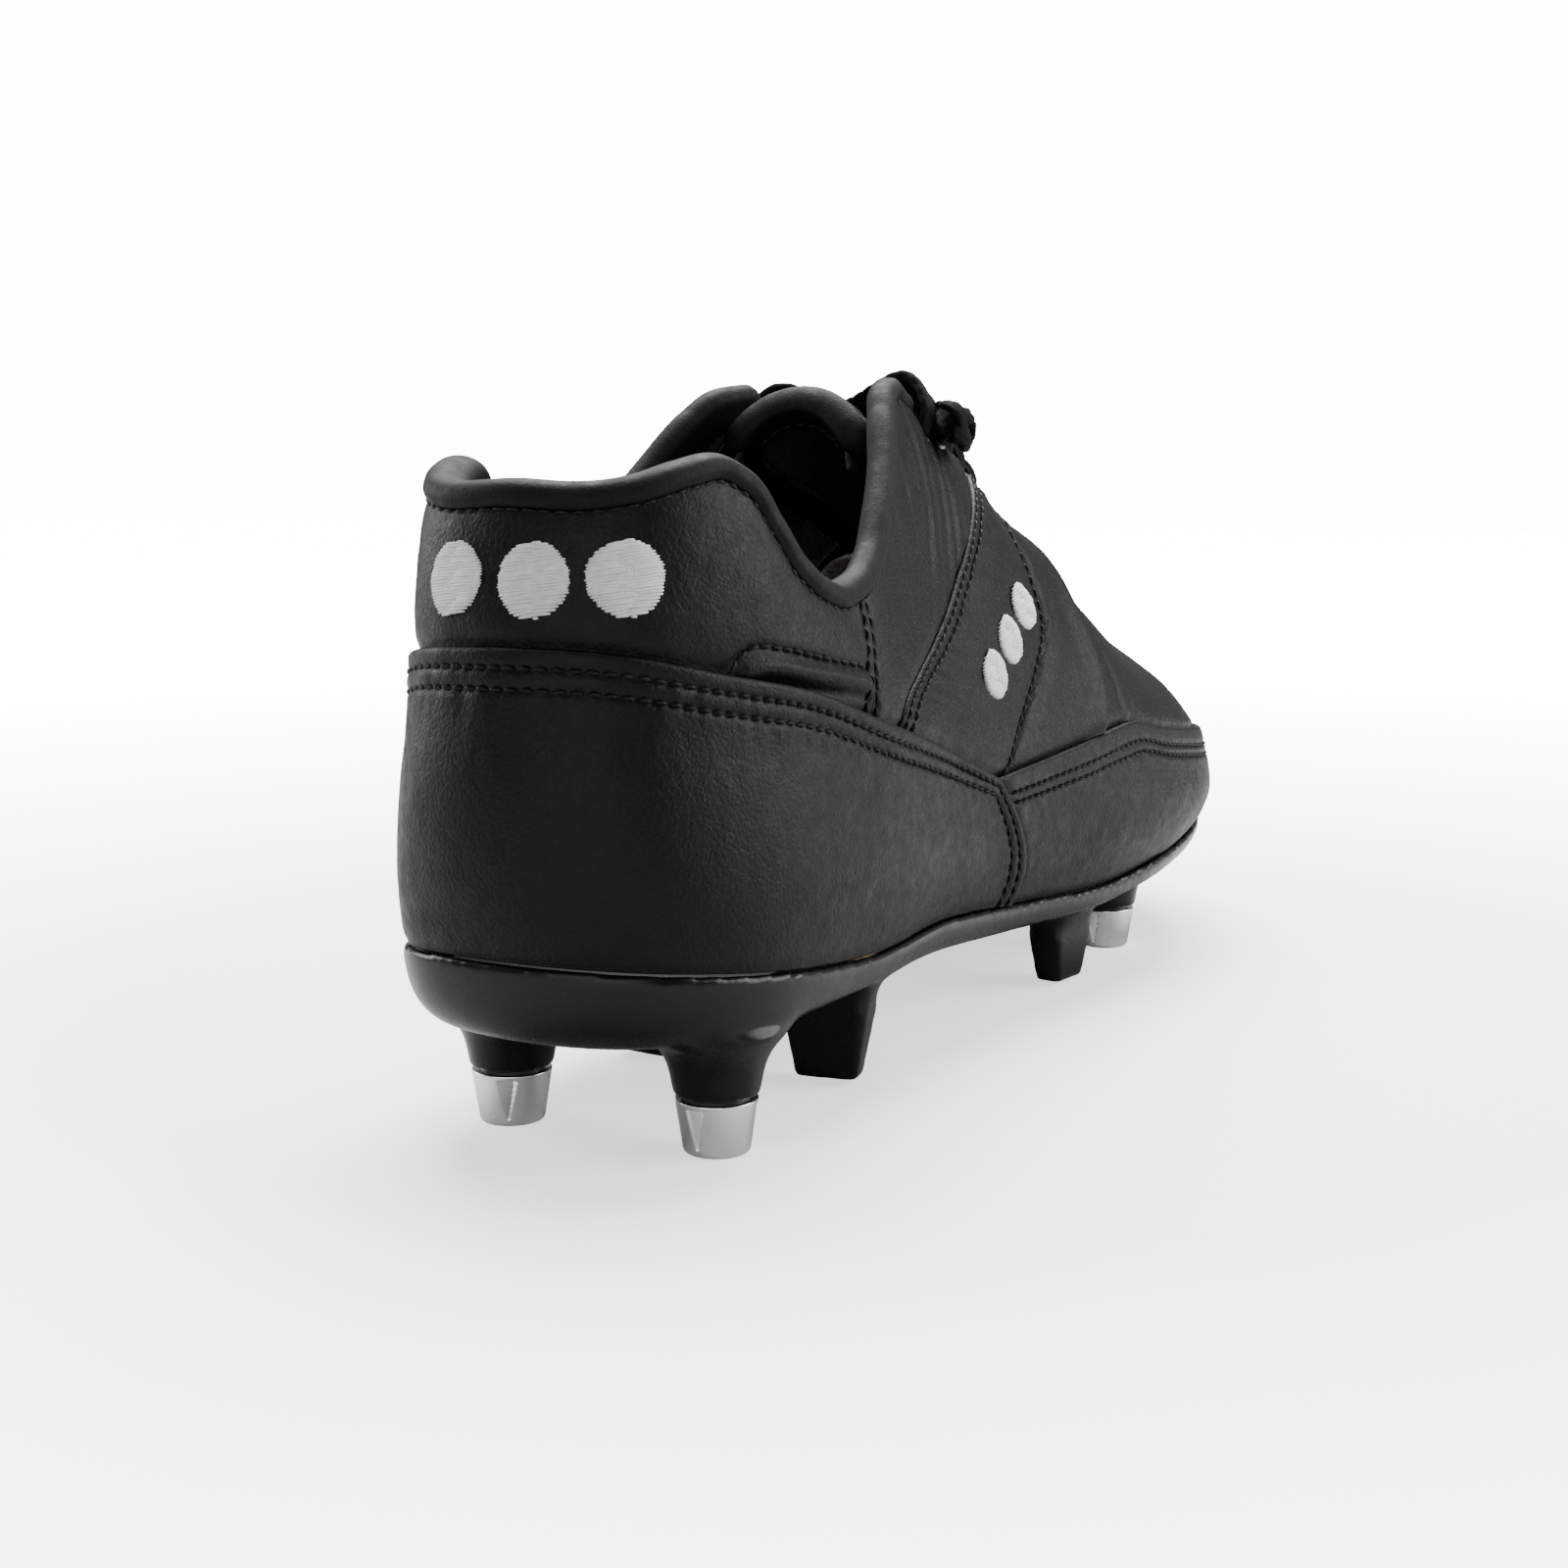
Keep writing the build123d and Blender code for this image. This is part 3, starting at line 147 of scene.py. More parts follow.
def hermite(t, width, start, start_slope, end, end_slope):
    return (start * (2 * t**3 - 3 * t**2 + 1) + start_slope * width * (t**3 - 2 * t**2 + t)
            + end * (3 * t**2 - 2 * t**3) + end_slope * width * (t**3 - t**2))


def feather(share):
    table = np.array(FEATHER)
    return smooth(table[:, 0], table[:, 1:], share, 1.0)


def spine(share):
    table = np.array(SPINE_Y, float)
    y = smooth(table[:, 0], table[:, 1], share, 1.0)[:, 0]
    ridge = np.array(RIDGE_X, float)
    return np.stack([smooth(ridge[:, 0], ridge[:, 1], y)[:, 0], y], 1)


def rim_z(y):
    table = np.array(RIM_Z, float)
    return smooth(table[:, 0], table[:, 1], np.clip(y, table[0, 0], table[-1, 0]))[:, 0]


def underside_z(y):
    table = np.array(UNDERSIDE_Z, float)
    return smooth(table[:, 0], table[:, 1], np.clip(y, table[0, 0], table[-1, 0]))[:, 0]


def all_walls():
    """Wall profiles round the whole boot: the lateral ones, and the same mirrored to the medial side."""
    lateral = sorted(WALLS)
    rows = [(share, np.ravel(WALLS[share])) for share in lateral]
    rows += [(2 * TOE_SHARE - share, np.ravel(WALLS[share])) for share in lateral if 0 < share < TOE_SHARE]
    rows.sort(key=lambda row: row[0])
    return np.array([row[0] for row in rows]), np.array([row[1] for row in rows])


WALL_SHARES, WALL_ROWS = all_walls()


def wall_rows(share):
    rows = smooth(WALL_SHARES, WALL_ROWS, share, 1.0).reshape(len(share), len(RISE_KNOTS), 2)
    rows[:, 0, 1] = rim_z(feather(share)[:, 1])
    return rows


def wall_slopes(rows):
    step = np.diff(np.array(RISE_KNOTS))[None, :, None]
    slope = np.diff(rows, axis=1) / step
    inner = (slope[:, :-1] * step[:, 1:] + slope[:, 1:] * step[:, :-1]) / (step[:, 1:] + step[:, :-1])
    last = slope[:, -1:].copy()
    low, high = CLOSED_RIDGE
    closed = np.clip((rows[:, -1, 0] - low) / (high - low), 0, 1)
    last[:, 0, 1] *= 1 - closed
    return np.concatenate([slope[:, :1], inner, last], 1)


def last_profile(share, rise):
    """(way in to the ridge, z) at each share and rise"""
    rows = wall_rows(share)
    slopes = wall_slopes(rows)
    knots = np.array(RISE_KNOTS)
    i = np.clip(np.searchsorted(knots, rise, side="right") - 1, 0, len(knots) - 2)
    each = np.arange(len(share))
    width = (knots[i + 1] - knots[i])[:, None]
    t = (rise - knots[i])[:, None] / width
    return hermite(t, width, rows[each, i], slopes[each, i], rows[each, i + 1], slopes[each, i + 1])


def last_point(share, rise):
    share = np.atleast_1d(np.asarray(share, float))
    rise = np.broadcast_to(np.asarray(rise, float), share.shape)
    profile = last_profile(share, rise)
    start = feather(share)
    flat = start + (spine(share) - start) * profile[:, :1]
    return np.concatenate([flat, profile[:, 1:]], 1)


def rise_at(share, z):
    """The rise at which the wall at each share reaches height z."""
    share = np.atleast_1d(np.asarray(share, float))
    low = np.zeros(len(share))
    high = np.ones(len(share))
    for _ in range(24):
        middle = (low + high) / 2
        below = last_point(share, middle)[:, 2] < z
        low = np.where(below, middle, low)
        high = np.where(below, high, middle)
    return (low + high) / 2


def unit(vectors):
    return vectors / np.maximum(np.linalg.norm(vectors, axis=-1, keepdims=True), 1e-9)


def last_at_depth(share, rise, depth):
    """Points of the last's surface moved inwards by depth."""
    small = 1e-3
    share, rise = np.asarray(share, float), np.asarray(rise, float)
    point = last_point(share, rise)
    ahead = last_point(share + small, rise) - last_point(share - small, rise)
    up = last_point(share, np.minimum(rise + small, 1)) - last_point(share, np.maximum(rise - small, 0))
    return point - unit(np.cross(ahead, up)) * np.reshape(depth, (-1, 1))


# ---- the last seen from above, for pieces that cross the ridge ----
def share_through(x, y):
    """The share whose line from feather to ridge passes over (x, y), in front of the ankle."""
    ridge = np.array(RIDGE_X, float)
    lateral = x >= smooth(ridge[:, 0], ridge[:, 1], np.minimum(y, 232.0))[:, 0]
    low = np.where(lateral, 0.15, 2 * TOE_SHARE - 0.15)
    high = np.full(len(x), TOE_SHARE)
    for _ in range(34):
        middle = (low + high) / 2
        start = feather(middle)
        way = spine(middle) - start
        turn = way[:, 0] * (y - start[:, 1]) - way[:, 1] * (x - start[:, 0])
        behind = np.where(lateral, turn < 0, turn > 0)
        low = np.where(behind, middle, low)
        high = np.where(behind, high, middle)
    return (low + high) / 2


def wall_place(x, y):
    """(share, rise) of the upper side of the last over the plan points (x, y)."""
    share = share_through(x, y)
    start = feather(share)
    way = spine(share) - start
    inward = ((x - start[:, 0]) * way[:, 0] + (y - start[:, 1]) * way[:, 1]) / np.sum(way**2, 1)
    low = np.full(len(x), 0.34)
    high = np.ones(len(x))
    for _ in range(30):
        middle = (low + high) / 2
        outside = last_profile(share, middle)[:, 0] < inward
        low = np.where(outside, middle, low)
        high = np.where(outside, high, middle)
    return share, (low + high) / 2


# ---- curves and patches on the last ----
def medial(share):
    """The share on the medial side that faces a lateral share, counted back from the heel."""
    return -share * (1 - TOE_SHARE) / TOE_SHARE


def through(points, count):
    """count points on a smooth curve through the given ones, evenly spaced."""
    points = np.array(points, float)
    scaled = points * [200.0, 1.0] if points.shape[1] == 2 else points
    distance = np.concatenate([[0], np.cumsum(np.linalg.norm(np.diff(scaled, axis=0), axis=1))])
    return smooth(distance, points, np.linspace(0, distance[-1], count))


def lateral_share(share):
    """The lateral share that faces any share, counted from the heel."""
    share = np.mod(share, 1.0)
    return np.where(share > TOE_SHARE, (1 - share) * TOE_SHARE / (1 - TOE_SHARE), share)


def seam(points, count, lift=0.0):
    """A seam given as (share, z), as (share, rise); its rises are the same on both sides."""
    curve = through(points, count)
    curve[:, 1] = np.clip(rise_at(lateral_share(curve[:, 0]), curve[:, 1]) + lift, 0, 1)
    return curve


def cut(points, start, end):
    """The stretch of a (share, z) seam between two shares, with its end points worked out."""
    table = np.array(points, float)
    inside = [tuple(row) for row in table if start + 1e-4 < row[0] < end - 1e-4]
    ends = smooth(table[:, 0], table[:, 1], [start, end])[:, 0]
    return [(start, ends[0])] + inside + [(end, ends[1])]


def other_side(points):
    """The same seam on the medial side."""
    return [(medial(share), value) for share, value in points]


def round_heel(points):
    """A seam that starts at the heel, carried round both sides from medial to lateral."""
    return other_side(points)[:0:-1] + list(points)


def round_toe(points):
    """A seam that ends at the toe, carried on round to the medial side."""
    return list(points) + [(1 + medial(share), value) for share, value in points[-2::-1]]


def level(start, end, rise, count):
    return np.stack([np.linspace(start, end, count), np.full(count, rise)], 1)


def evenly(curve, count=300):
    """A (share, rise) curve taken again at even steps of real length, and that length in mm."""
    points = last_point(curve[:, 0], np.clip(curve[:, 1], 0, 1))
    distance = np.concatenate([[0], np.cumsum(np.linalg.norm(np.diff(points, axis=0), axis=1))])
    steps = np.linspace(0, distance[-1], count)
    return np.stack([np.interp(steps, distance, curve[:, k]) for k in (0, 1)], 1), distance[-1]


def graded(length, start_zone, end_zone, fine=0.42, coarse=0.85):
    """Places from 0 to 1 along a length in mm: very close at both ends, close in the zones beside them."""
    places = [0.0]
    while places[-1] < length:
        at = places[-1]
        near, left = at, length - at
        step = fine if near < start_zone or left < end_zone else coarse
        if min(near, left) < 0.6:
            step = 0.2
        places.append(at + step)
    return np.array(places) / places[-1]


def picked(curve, places):
    at = np.linspace(0, 1, len(curve))
    return np.stack([np.interp(places, at, curve[:, k]) for k in range(curve.shape[1])], 1)


def fill(bottom, top, left, right, s, t):
    """Grid of places that fills four edges, with its lines at s along and t across."""
    bottom, top = picked(bottom, s), picked(top, s)
    left, right = picked(left, t), picked(right, t)
    s = s[:, None, None]
    t = t[None, :, None]
    ruled_up = bottom[:, None] * (1 - t) + top[:, None] * t
    ruled_on = left[None] * (1 - s) + right[None] * s
    corners = bottom[0] * (1 - s) * (1 - t) + bottom[-1] * s * (1 - t) + top[0] * (1 - s) * t + top[-1] * s * t
    return ruled_up + ruled_on - corners


def ends_at(curve, start, end):
    """The curve with its two ends moved exactly on to start and end."""
    t = np.linspace(0, 1, len(curve))[:, None]
    return curve + (start - curve[0]) * (1 - t) + (end - curve[-1]) * t


# ---- noise ----
RANDOM_TABLE = random.random((256, 256))


def noise(x, y):
    """Smooth noise between -1 and 1 over a plane, one lump to a unit."""
    x, y = np.broadcast_arrays(np.asarray(x, float), np.asarray(y, float))
    column, row = np.floor(x).astype(int), np.floor(y).astype(int)
    across, up = x - column, y - row
    across, up = across**2 * (3 - 2 * across), up**2 * (3 - 2 * up)
    corner = [[RANDOM_TABLE[(column + i) & 255, (row + j) & 255] for j in (0, 1)] for i in (0, 1)]
    low = corner[0][0] * (1 - across) + corner[1][0] * across
    high = corner[0][1] * (1 - across) + corner[1][1] * across
    return (low * (1 - up) + high * up) * 2 - 1


def bump(distance, width):
    return np.exp(-(distance / width) ** 2)


def step(value, low, high):
    t = np.clip((value - low) / (high - low), 0, 1)
    return t * t * (3 - 2 * t)


# ---- meshes ----
def to_frame(points):
    return (np.asarray(points, float) - [MIDDLE_X, MIDDLE_Y, 0]) * 0.001


def grid_quads(rows, columns, closed=False):
    index = np.arange(rows * columns).reshape(rows, columns)
    if closed:
        index = np.concatenate([index, index[:, :1]], 1)
    return np.stack([index[:-1, :-1], index[1:, :-1], index[1:, 1:], index[:-1, 1:]], -1).reshape(-1, 4)


def shell(outer, inner):
    """Points and quads of the closed solid between two grids of the same layout."""
    rows, columns = outer.shape[:2]
    count = rows * columns
    index = np.arange(count).reshape(rows, columns)
    front = grid_quads(rows, columns)
    ring = np.concatenate([index[:-1, 0], index[-1, :-1], index[:0:-1, -1], index[0, :0:-1]])
    following = np.roll(ring, -1)
    sides = np.stack([ring, ring + count, following + count, following], 1)
    points = np.concatenate([outer.reshape(-1, 3), inner.reshape(-1, 3)])
    return points, np.concatenate([front, front[:, ::-1] + count, sides])


def tubes(centres, outs, radii, sides=8):
    """Round tubes along many lines at once; radii is one radius for every ring."""
    count, rings = centres.shape[:2]
    along = unit(np.gradient(centres, axis=1))
    across = unit(np.cross(along, outs))
    outs = unit(np.cross(across, along))
    angles = np.linspace(0, 2 * np.pi, sides, endpoint=False)
    circle = across[:, :, None] * np.cos(angles)[:, None] + outs[:, :, None] * np.sin(angles)[:, None]
    radii = np.asarray(radii, float)
    radii = np.broadcast_to(radii[..., None] if radii.ndim < 3 else radii, (count, rings, sides))
    points = centres[:, :, None] + circle * radii[..., None]
    body = grid_quads(rings, sides, closed=True)
    caps = []
    for ring, turn in ((0, 1), ((rings - 1) * sides, -1)):
        for k in range(1, sides // 2):
            caps.append((ring + np.array([0, 2 * k - 1, 2 * k, 2 * k + 1]))[::turn])
    one = np.concatenate([body, caps])
    starts = np.arange(count)[:, None, None] * rings * sides
    return points.reshape(-1, 3), (one[None] + starts).reshape(-1, 4)


def join(parts):
    points, quads, start = [], [], 0
    for some_points, some_quads in parts:
        points.append(some_points)
        quads.append(some_quads + start)
        start += len(some_points)
    return np.concatenate(points), np.concatenate(quads)


def piece(name, shape, material, body="shoe", replaced=(), smooth_faces=True):
    """A mesh object from points in mm and quads, riding on a body of the frame."""
    points, quads = shape
    mesh = bpy.data.meshes.new(name)
    mesh.vertices.add(len(points))
    mesh.vertices.foreach_set("co", to_frame(points).astype(np.float32).ravel())
    mesh.loops.add(quads.size)
    mesh.loops.foreach_set("vertex_index", quads.astype(np.int32).ravel())
    mesh.polygons.add(len(quads))
    mesh.polygons.foreach_set("loop_start", np.arange(0, quads.size, 4, dtype=np.int32))
    mesh.update(calc_edges=True)
    mesh.validate()
    face_outwards(mesh)
    if smooth_faces:
        mesh.shade_smooth()
    obj = bpy.data.objects.new(name, mesh)
    bpy.context.scene.collection.objects.link(obj)
    obj.data.materials.append(material)
    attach(obj, body)
    if replaced:
        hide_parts(*replaced)
    return obj


def face_outwards(mesh):
    """Turns every closed part of a mesh so that its faces point away from its inside."""
    rough = bmesh.new()
    rough.from_mesh(mesh)
    bmesh.ops.recalc_face_normals(rough, faces=rough.faces)
    rough.to_mesh(mesh)
    rough.free()


# ---- leather panels with their stitching ----
STITCH_PITCH = 2.5
THREAD_RADIUS = 0.27
EDGE_ROUNDING = 0.8


class Panel:
    """A leather panel on the last: a grid of places, each with a height over the last in mm."""

    def __init__(self, grid, in_plan=False):
        flat = grid.reshape(-1, 2)
        shape = grid.shape[:2]
        if in_plan:
            share, rise = wall_place(flat[:, 0], flat[:, 1])
        else:
            share, rise = flat[:, 0], np.clip(flat[:, 1], 0, 1)
        base = last_point(share, rise)
        outward = unit(last_at_depth(share, rise, np.full(len(share), -1.0)) - base)
        self.share, self.rise = share.reshape(shape), rise.reshape(shape)
        self.base, self.out = base.reshape(*shape, 3), outward.reshape(*shape, 3)
        along = self.lengths(self.base)
        across = self.lengths(self.base.swapaxes(0, 1)).T
        self.away = {"start": along, "end": along[-1:] - along, "bottom": across, "top": across[:, -1:] - across}
        self.height = np.zeros(shape)
        self.rows = []

    @staticmethod
    def lengths(points):
        return np.concatenate([np.zeros((1, points.shape[1])),
                               np.cumsum(np.linalg.norm(np.diff(points, axis=0), axis=2), axis=0)])

    def nearest(self, *sides):
        return np.min([self.away[side] for side in sides], axis=0)

    def surface(self):
        return self.base + self.out * self.height[..., None]

    def round_edges(self, *sides, radius=EDGE_ROUNDING):
        near = np.clip(radius - self.nearest(*sides), 0, radius)
        self.height -= radius - np.sqrt(radius**2 - near**2)

    def line(self, side, offset):
        """The line at a fixed distance from one side: points, outward directions, length so far."""
        away, points, out = self.away[side], self.surface(), self.out
        if side in ("start", "end"):
            away, points, out = away.T, points.swapaxes(0, 1), out.swapaxes(0, 1)
        if side in ("top", "end"):
            away, points, out = away[:, ::-1], points[:, ::-1], out[:, ::-1]
        found = np.array([[np.interp(offset, a, column) for column in np.concatenate([p, o], 1).T]
                          for a, p, o in zip(away, points, out)])
        length = np.concatenate([[0], np.cumsum(np.linalg.norm(np.diff(found[:, :3], axis=0), axis=1))])
        return found[:, :3], unit(found[:, 3:]), length

    def stitch(self, side, offset, keep=None, pucker=0.0, reach=5.0, groove=0.28):
        """Sinks a row of stitches in; positive reach puckers the leather further from the side."""
        length = self.line(side, offset)[2]
        along = length[None, :] if side in ("start", "end") else length[:, None]
        distance = self.away[side] - offset
        hole = np.abs((along + STITCH_PITCH / 2) % STITCH_PITCH - STITCH_PITCH / 2)
        kept = np.ones_like(distance) if keep is None else keep
        self.height -= kept * (groove * bump(distance, 0.7) + 0.35 * bump(distance, 0.45) * bump(hole, 0.45))
        if pucker:
            beyond = distance * np.sign(reach)
            lumps = noise(along / 1.9, beyond / 9 + offset * 3.7) + 0.5 * noise(along / 0.95, beyond / 6 + 40)
            fade = step(beyond, -0.5, 0.8) * np.exp(-np.maximum(beyond, 0) / abs(reach))
            self.height += kept * pucker * fade * lumps
        self.rows.append((side, offset, kept))

    def threads(self):
        """The stitches of every row, as one shape."""
        parts = []
        for side, offset, kept in self.rows:
            points, out, length = self.line(side, offset)
            if side in ("start", "end"):
                weight = np.array([np.interp(offset, a if side == "start" else a[::-1], k if side == "start" else k[::-1])
                                   for a, k in zip(self.away[side].T, kept.T)])
            else:
                weight = np.array([np.interp(offset, a if side == "bottom" else a[::-1], k if side == "bottom" else k[::-1])
                                   for a, k in zip(self.away[side], kept)])
            count = int(length[-1] / STITCH_PITCH)
            if count < 1:
                continue
            parts.append(stitches_on(points, out, length, weight, count))
        return join([part for part in parts if part])

    def solid(self, depth=LEATHER):
        return shell(self.surface(), self.base - self.out * depth)


def stitches_on(points, out, length, weight, count):
    """Stitches between holes STITCH_PITCH apart along a line."""
    rings = np.linspace(0, 1, 8)
    at = (np.arange(count)[:, None] + 0.06 + 0.88 * rings[None]) * STITCH_PITCH
    chosen = np.interp(at.mean(1), length, weight) > 0.5
    at = at[chosen]
    if not len(at):
        return None
    centre = np.stack([np.interp(at, length, points[:, k]) for k in range(3)], -1)
    outward = unit(np.stack([np.interp(at, length, out[:, k]) for k in range(3)], -1))
    arch = -0.30 + 0.62 * np.sin(np.pi * rings) ** 0.6
    centre = centre + outward * arch[None, :, None]
    angles = np.linspace(0, 2 * np.pi, 8, endpoint=False)
    twist = 1 + 0.13 * np.cos(2 * (angles[None] - 5.0 * rings[:, None]))
    taper = 0.55 + 0.45 * np.sin(np.pi * rings) ** 0.5
    radii = THREAD_RADIUS * twist * taper[:, None]
    return tubes(centre, outward, np.broadcast_to(radii[None], (len(at), 8, 8)))


def leather_lumps(panel, size=0.10):
    """The gentle unevenness of pulled leather."""
    u, v = panel.share * 540, panel.base[..., 2]
    panel.height += size * (noise(u / 9, v / 9) + 0.5 * noise(u / 4.1, v / 4.1) + 0.25 * noise(u / 1.9, v / 1.9))


OVERLAP = 1.0               # how far an overlapping panel's edge stands over its neighbour
SIDES = {"lateral": 1, "medial": -1}


def mirrored(grid, side):
    """The grid itself on the lateral side, or its mirror image, wound the same way, on the medial side."""
    if side == "lateral":
        return grid
    turned = grid[::-1].copy()
    turned[:, :, 0] = 1 + medial(turned[:, :, 0])
    return turned


def names_of_sides(side):
    """Which side of a mirrored grid faces the heel, and which the toe."""
    return ("start", "end") if side == "lateral" else ("end", "start")


def seam_line(points, lift=0.0, count=160):
    return seam(points, count, lift)


def counter_cover():
    front = seam_line(COUNTER_FRONT)[::-1]
    back = front.copy()
    back[:, 0] = medial(front[:, 0])
    bottom = level(back[0, 0], front[0, 0], 0.0, 300)
    top = seam_line(round_heel(COUNTER_SEAM), count=400)
    (bottom, _), (top, length) = evenly(bottom, 400), evenly(top, 400)
    (back, _), (front, _) = evenly(back), evenly(front)
    grid = fill(bottom, top, back, front, graded(length, 9, 9, coarse=0.6), graded(45, 0, 9))
    panel = Panel(grid)
    edge = panel.nearest("start", "end", "top")
    panel.height += OVERLAP * bump(edge, 7.5) + 0.25 * step(edge, 2, 20)
    leather_lumps(panel)
    panel.height -= 0.5 * bump(panel.away["bottom"], 1.3)
    for offset in (2.9, 5.9):
        away = panel.away
        sides = np.minimum(away["start"], away["end"])
        panel.stitch("top", offset, step(sides, offset - 0.4, offset + 0.4), 0.16, 4.0)
        for side in ("start", "end"):
            panel.stitch(side, offset, step(away["top"], offset - 0.4, offset + 0.4), 0.10, 3.0)
    panel.round_edges("start", "end", "top")
    return panel


def collar_panel():
    """The panel round the heel above the counter, with the raised edge of the pull tab under it."""
    start, end = COLLAR_FRONT[0][0], COLLAR_FRONT[-1][0]
    bottom = seam_line(round_heel(cut(COUNTER_SEAM, 0, start)), count=400)
    top = seam_line(round_heel(cut(CUT_EDGE, 0, end)), 0.01, count=400)
    front = seam_line(COLLAR_FRONT)
    back = front.copy()
    back[:, 0] = medial(front[:, 0])
    front = ends_at(front, bottom[-1], top[-1])
    back = ends_at(back, bottom[0], top[0])
    (bottom, _), (top, length) = evenly(bottom, 400), evenly(top, 400)
    grid = fill(bottom, top, evenly(back)[0], evenly(front)[0], graded(length, 5, 5, coarse=0.6),
                graded(26, 8, 3, coarse=0.6))
    panel = Panel(grid)
    panel.height += 0.5 * step(panel.nearest("top", "bottom"), 0, 7)
    leather_lumps(panel, 0.13)
    share, z = np.abs((panel.share + 0.5) % 1 - 0.5), panel.base[..., 2]
    share = np.where(panel.share < 0, -panel.share * TOE_SHARE / (1 - TOE_SHARE), panel.share)
    fan = noise(share * 540 / 2.2 + z / 6, z / 14) * step(share, 0.10, 0.138) * step(z, 66, 74)
    panel.height += 0.10 * fan
    tab_edge(panel, share, z)
    panel.height -= 0.8 * bump(panel.away["bottom"], 1.6)
    panel.height -= 0.45 * bump(panel.away["top"] - 2.0, 0.7)
    for side in ("start", "end"):
        panel.stitch(side, 1.6, pucker=0.22, reach=4.5)
    panel.round_edges("start", "end", radius=0.5)
    return panel


TAB_TOP = [(0.0779, 73.4), (0.0810, 75.3), (0.0891, 77.0), (0.1012, 76.3), (0.1174, 74.4), (0.1397, 71.9)]
TAB_CORD = [(0.0850, 73.2), (0.0961, 73.8), (0.1123, 72.3), (0.1386, 69.5)]


def tab_edge(panel, share, z):
    """A padded, piped edge low on each side of the heel, with a row of stitches over it."""
    for points, height, width, start in ((TAB_CORD, 1.0, 1.25, 0.084), (TAB_TOP, -0.35, 0.6, 0.078)):
        table = np.array(points)
        line = smooth(table[:, 0], table[:, 1], np.clip(share.ravel(), start, 0.142))[:, 0].reshape(share.shape)
        end = step(share, start - 0.002, start + 0.002) * (1 - step(share, 0.136, 0.142))
        panel.height += height * bump(z - line, width) * end
        if height > 0:
            panel.height -= 0.5 * bump(z - line + 2.2, 0.8) * end


def tab_threads():
    """The stitches along the tab's upper edge on both sides."""
    parts = []
    for side in SIDES:
        line = through(TAB_TOP, 120)
        line[:, 1] = rise_at(line[:, 0], line[:, 1])
        line = evenly(line, 120)[0]
        if side == "medial":
            line[:, 0] = medial(line[:, 0])
        points = last_at_depth(line[:, 0], line[:, 1], np.full(120, -0.25))
        out = unit(points - last_at_depth(line[:, 0], line[:, 1], np.full(120, 1.0)))
        length = np.concatenate([[0], np.cumsum(np.linalg.norm(np.diff(points, axis=0), axis=1))])
        parts.append(stitches_on(points, out, length, np.ones(120), int(length[-1] / STITCH_PITCH)))
    return join(parts)


def throat_edge(start, end, count=200):
    return level(start, end, THROAT_RISE, count)


def side_grid(low, high, left, right, zones, width):
    low, high = evenly(low, 300)[0], evenly(high, 300)
    left, right = ends_at(left, low[0], high[0][0]), ends_at(right, low[-1], high[0][-1])
    return fill(low, high[0], evenly(left)[0], evenly(right)[0], graded(high[1], zones[0], zones[1], coarse=0.6),
                graded(width, zones[2], zones[3], coarse=0.6))


def quarter(side):
    """The quarter, with the long folds that its gathered facing makes."""
    top = seam_line(cut(CUT_EDGE, COLLAR_FRONT[-1][0], CUT_EDGE[-1][0]), 0.01, count=200)
    high = through(np.concatenate([top, throat_edge(0.226, BAND_REAR[-1][0], 60)]), 300)
    low = seam_line(cut(COUNTER_SEAM, COLLAR_FRONT[0][0], BAND_REAR[0][0]), count=100)
    grid = side_grid(low, high, seam_line(COLLAR_FRONT), seam_line(BAND_REAR), (5, 7, 3, 6), 50)
    panel = Panel(mirrored(grid, side))
    heel_side, toe_side = names_of_sides(side)
    share = panel.share if side == "lateral" else (1 - panel.share) * TOE_SHARE / (1 - TOE_SHARE)
    rise = panel.rise
    panel.height += 0.4 * step(panel.nearest("top", "bottom", "start", "end"), 0, 7)
    leather_lumps(panel, 0.14)
    across_folds = (share - 0.19) * 520 + (0.98 - rise) * 34
    along_folds = rise * 60 - share * 120
    where = step(share, 0.19, 0.212) * step(rise, 0.60, 0.78) * (1 - step(rise, 0.90, 0.93))
    depth = 0.8 if side == "lateral" else 0.4
    panel.height += depth * where * noise(across_folds / 4.2, along_folds / 38)
    panel.height += 0.4 * depth * where * noise(across_folds / 2.0 + 9, along_folds / 20)
    fine = noise(share * 540 / 1.7 + rise * 6, rise * 5) * step(share, 0.15, 0.17)
    panel.height += 0.09 * fine
    panel.height -= 0.8 * bump(panel.away["bottom"], 1.6)
    panel.height -= 0.45 * bump(panel.away["top"] - 2.0, 0.7) * (1 - step(share, 0.221, 0.226))
    facing = step(share, 0.226, 0.232)
    panel.stitch("top", 2.2, facing, 0.15, 4.0)
    panel.stitch(heel_side, 1.4, pucker=0.22, reach=6.0)
    panel.height -= 0.5 * bump(panel.away[toe_side], 1.2)
    punch_eyelets(panel, side)
    panel.round_edges("start", "end", "top", radius=0.6)
    return panel


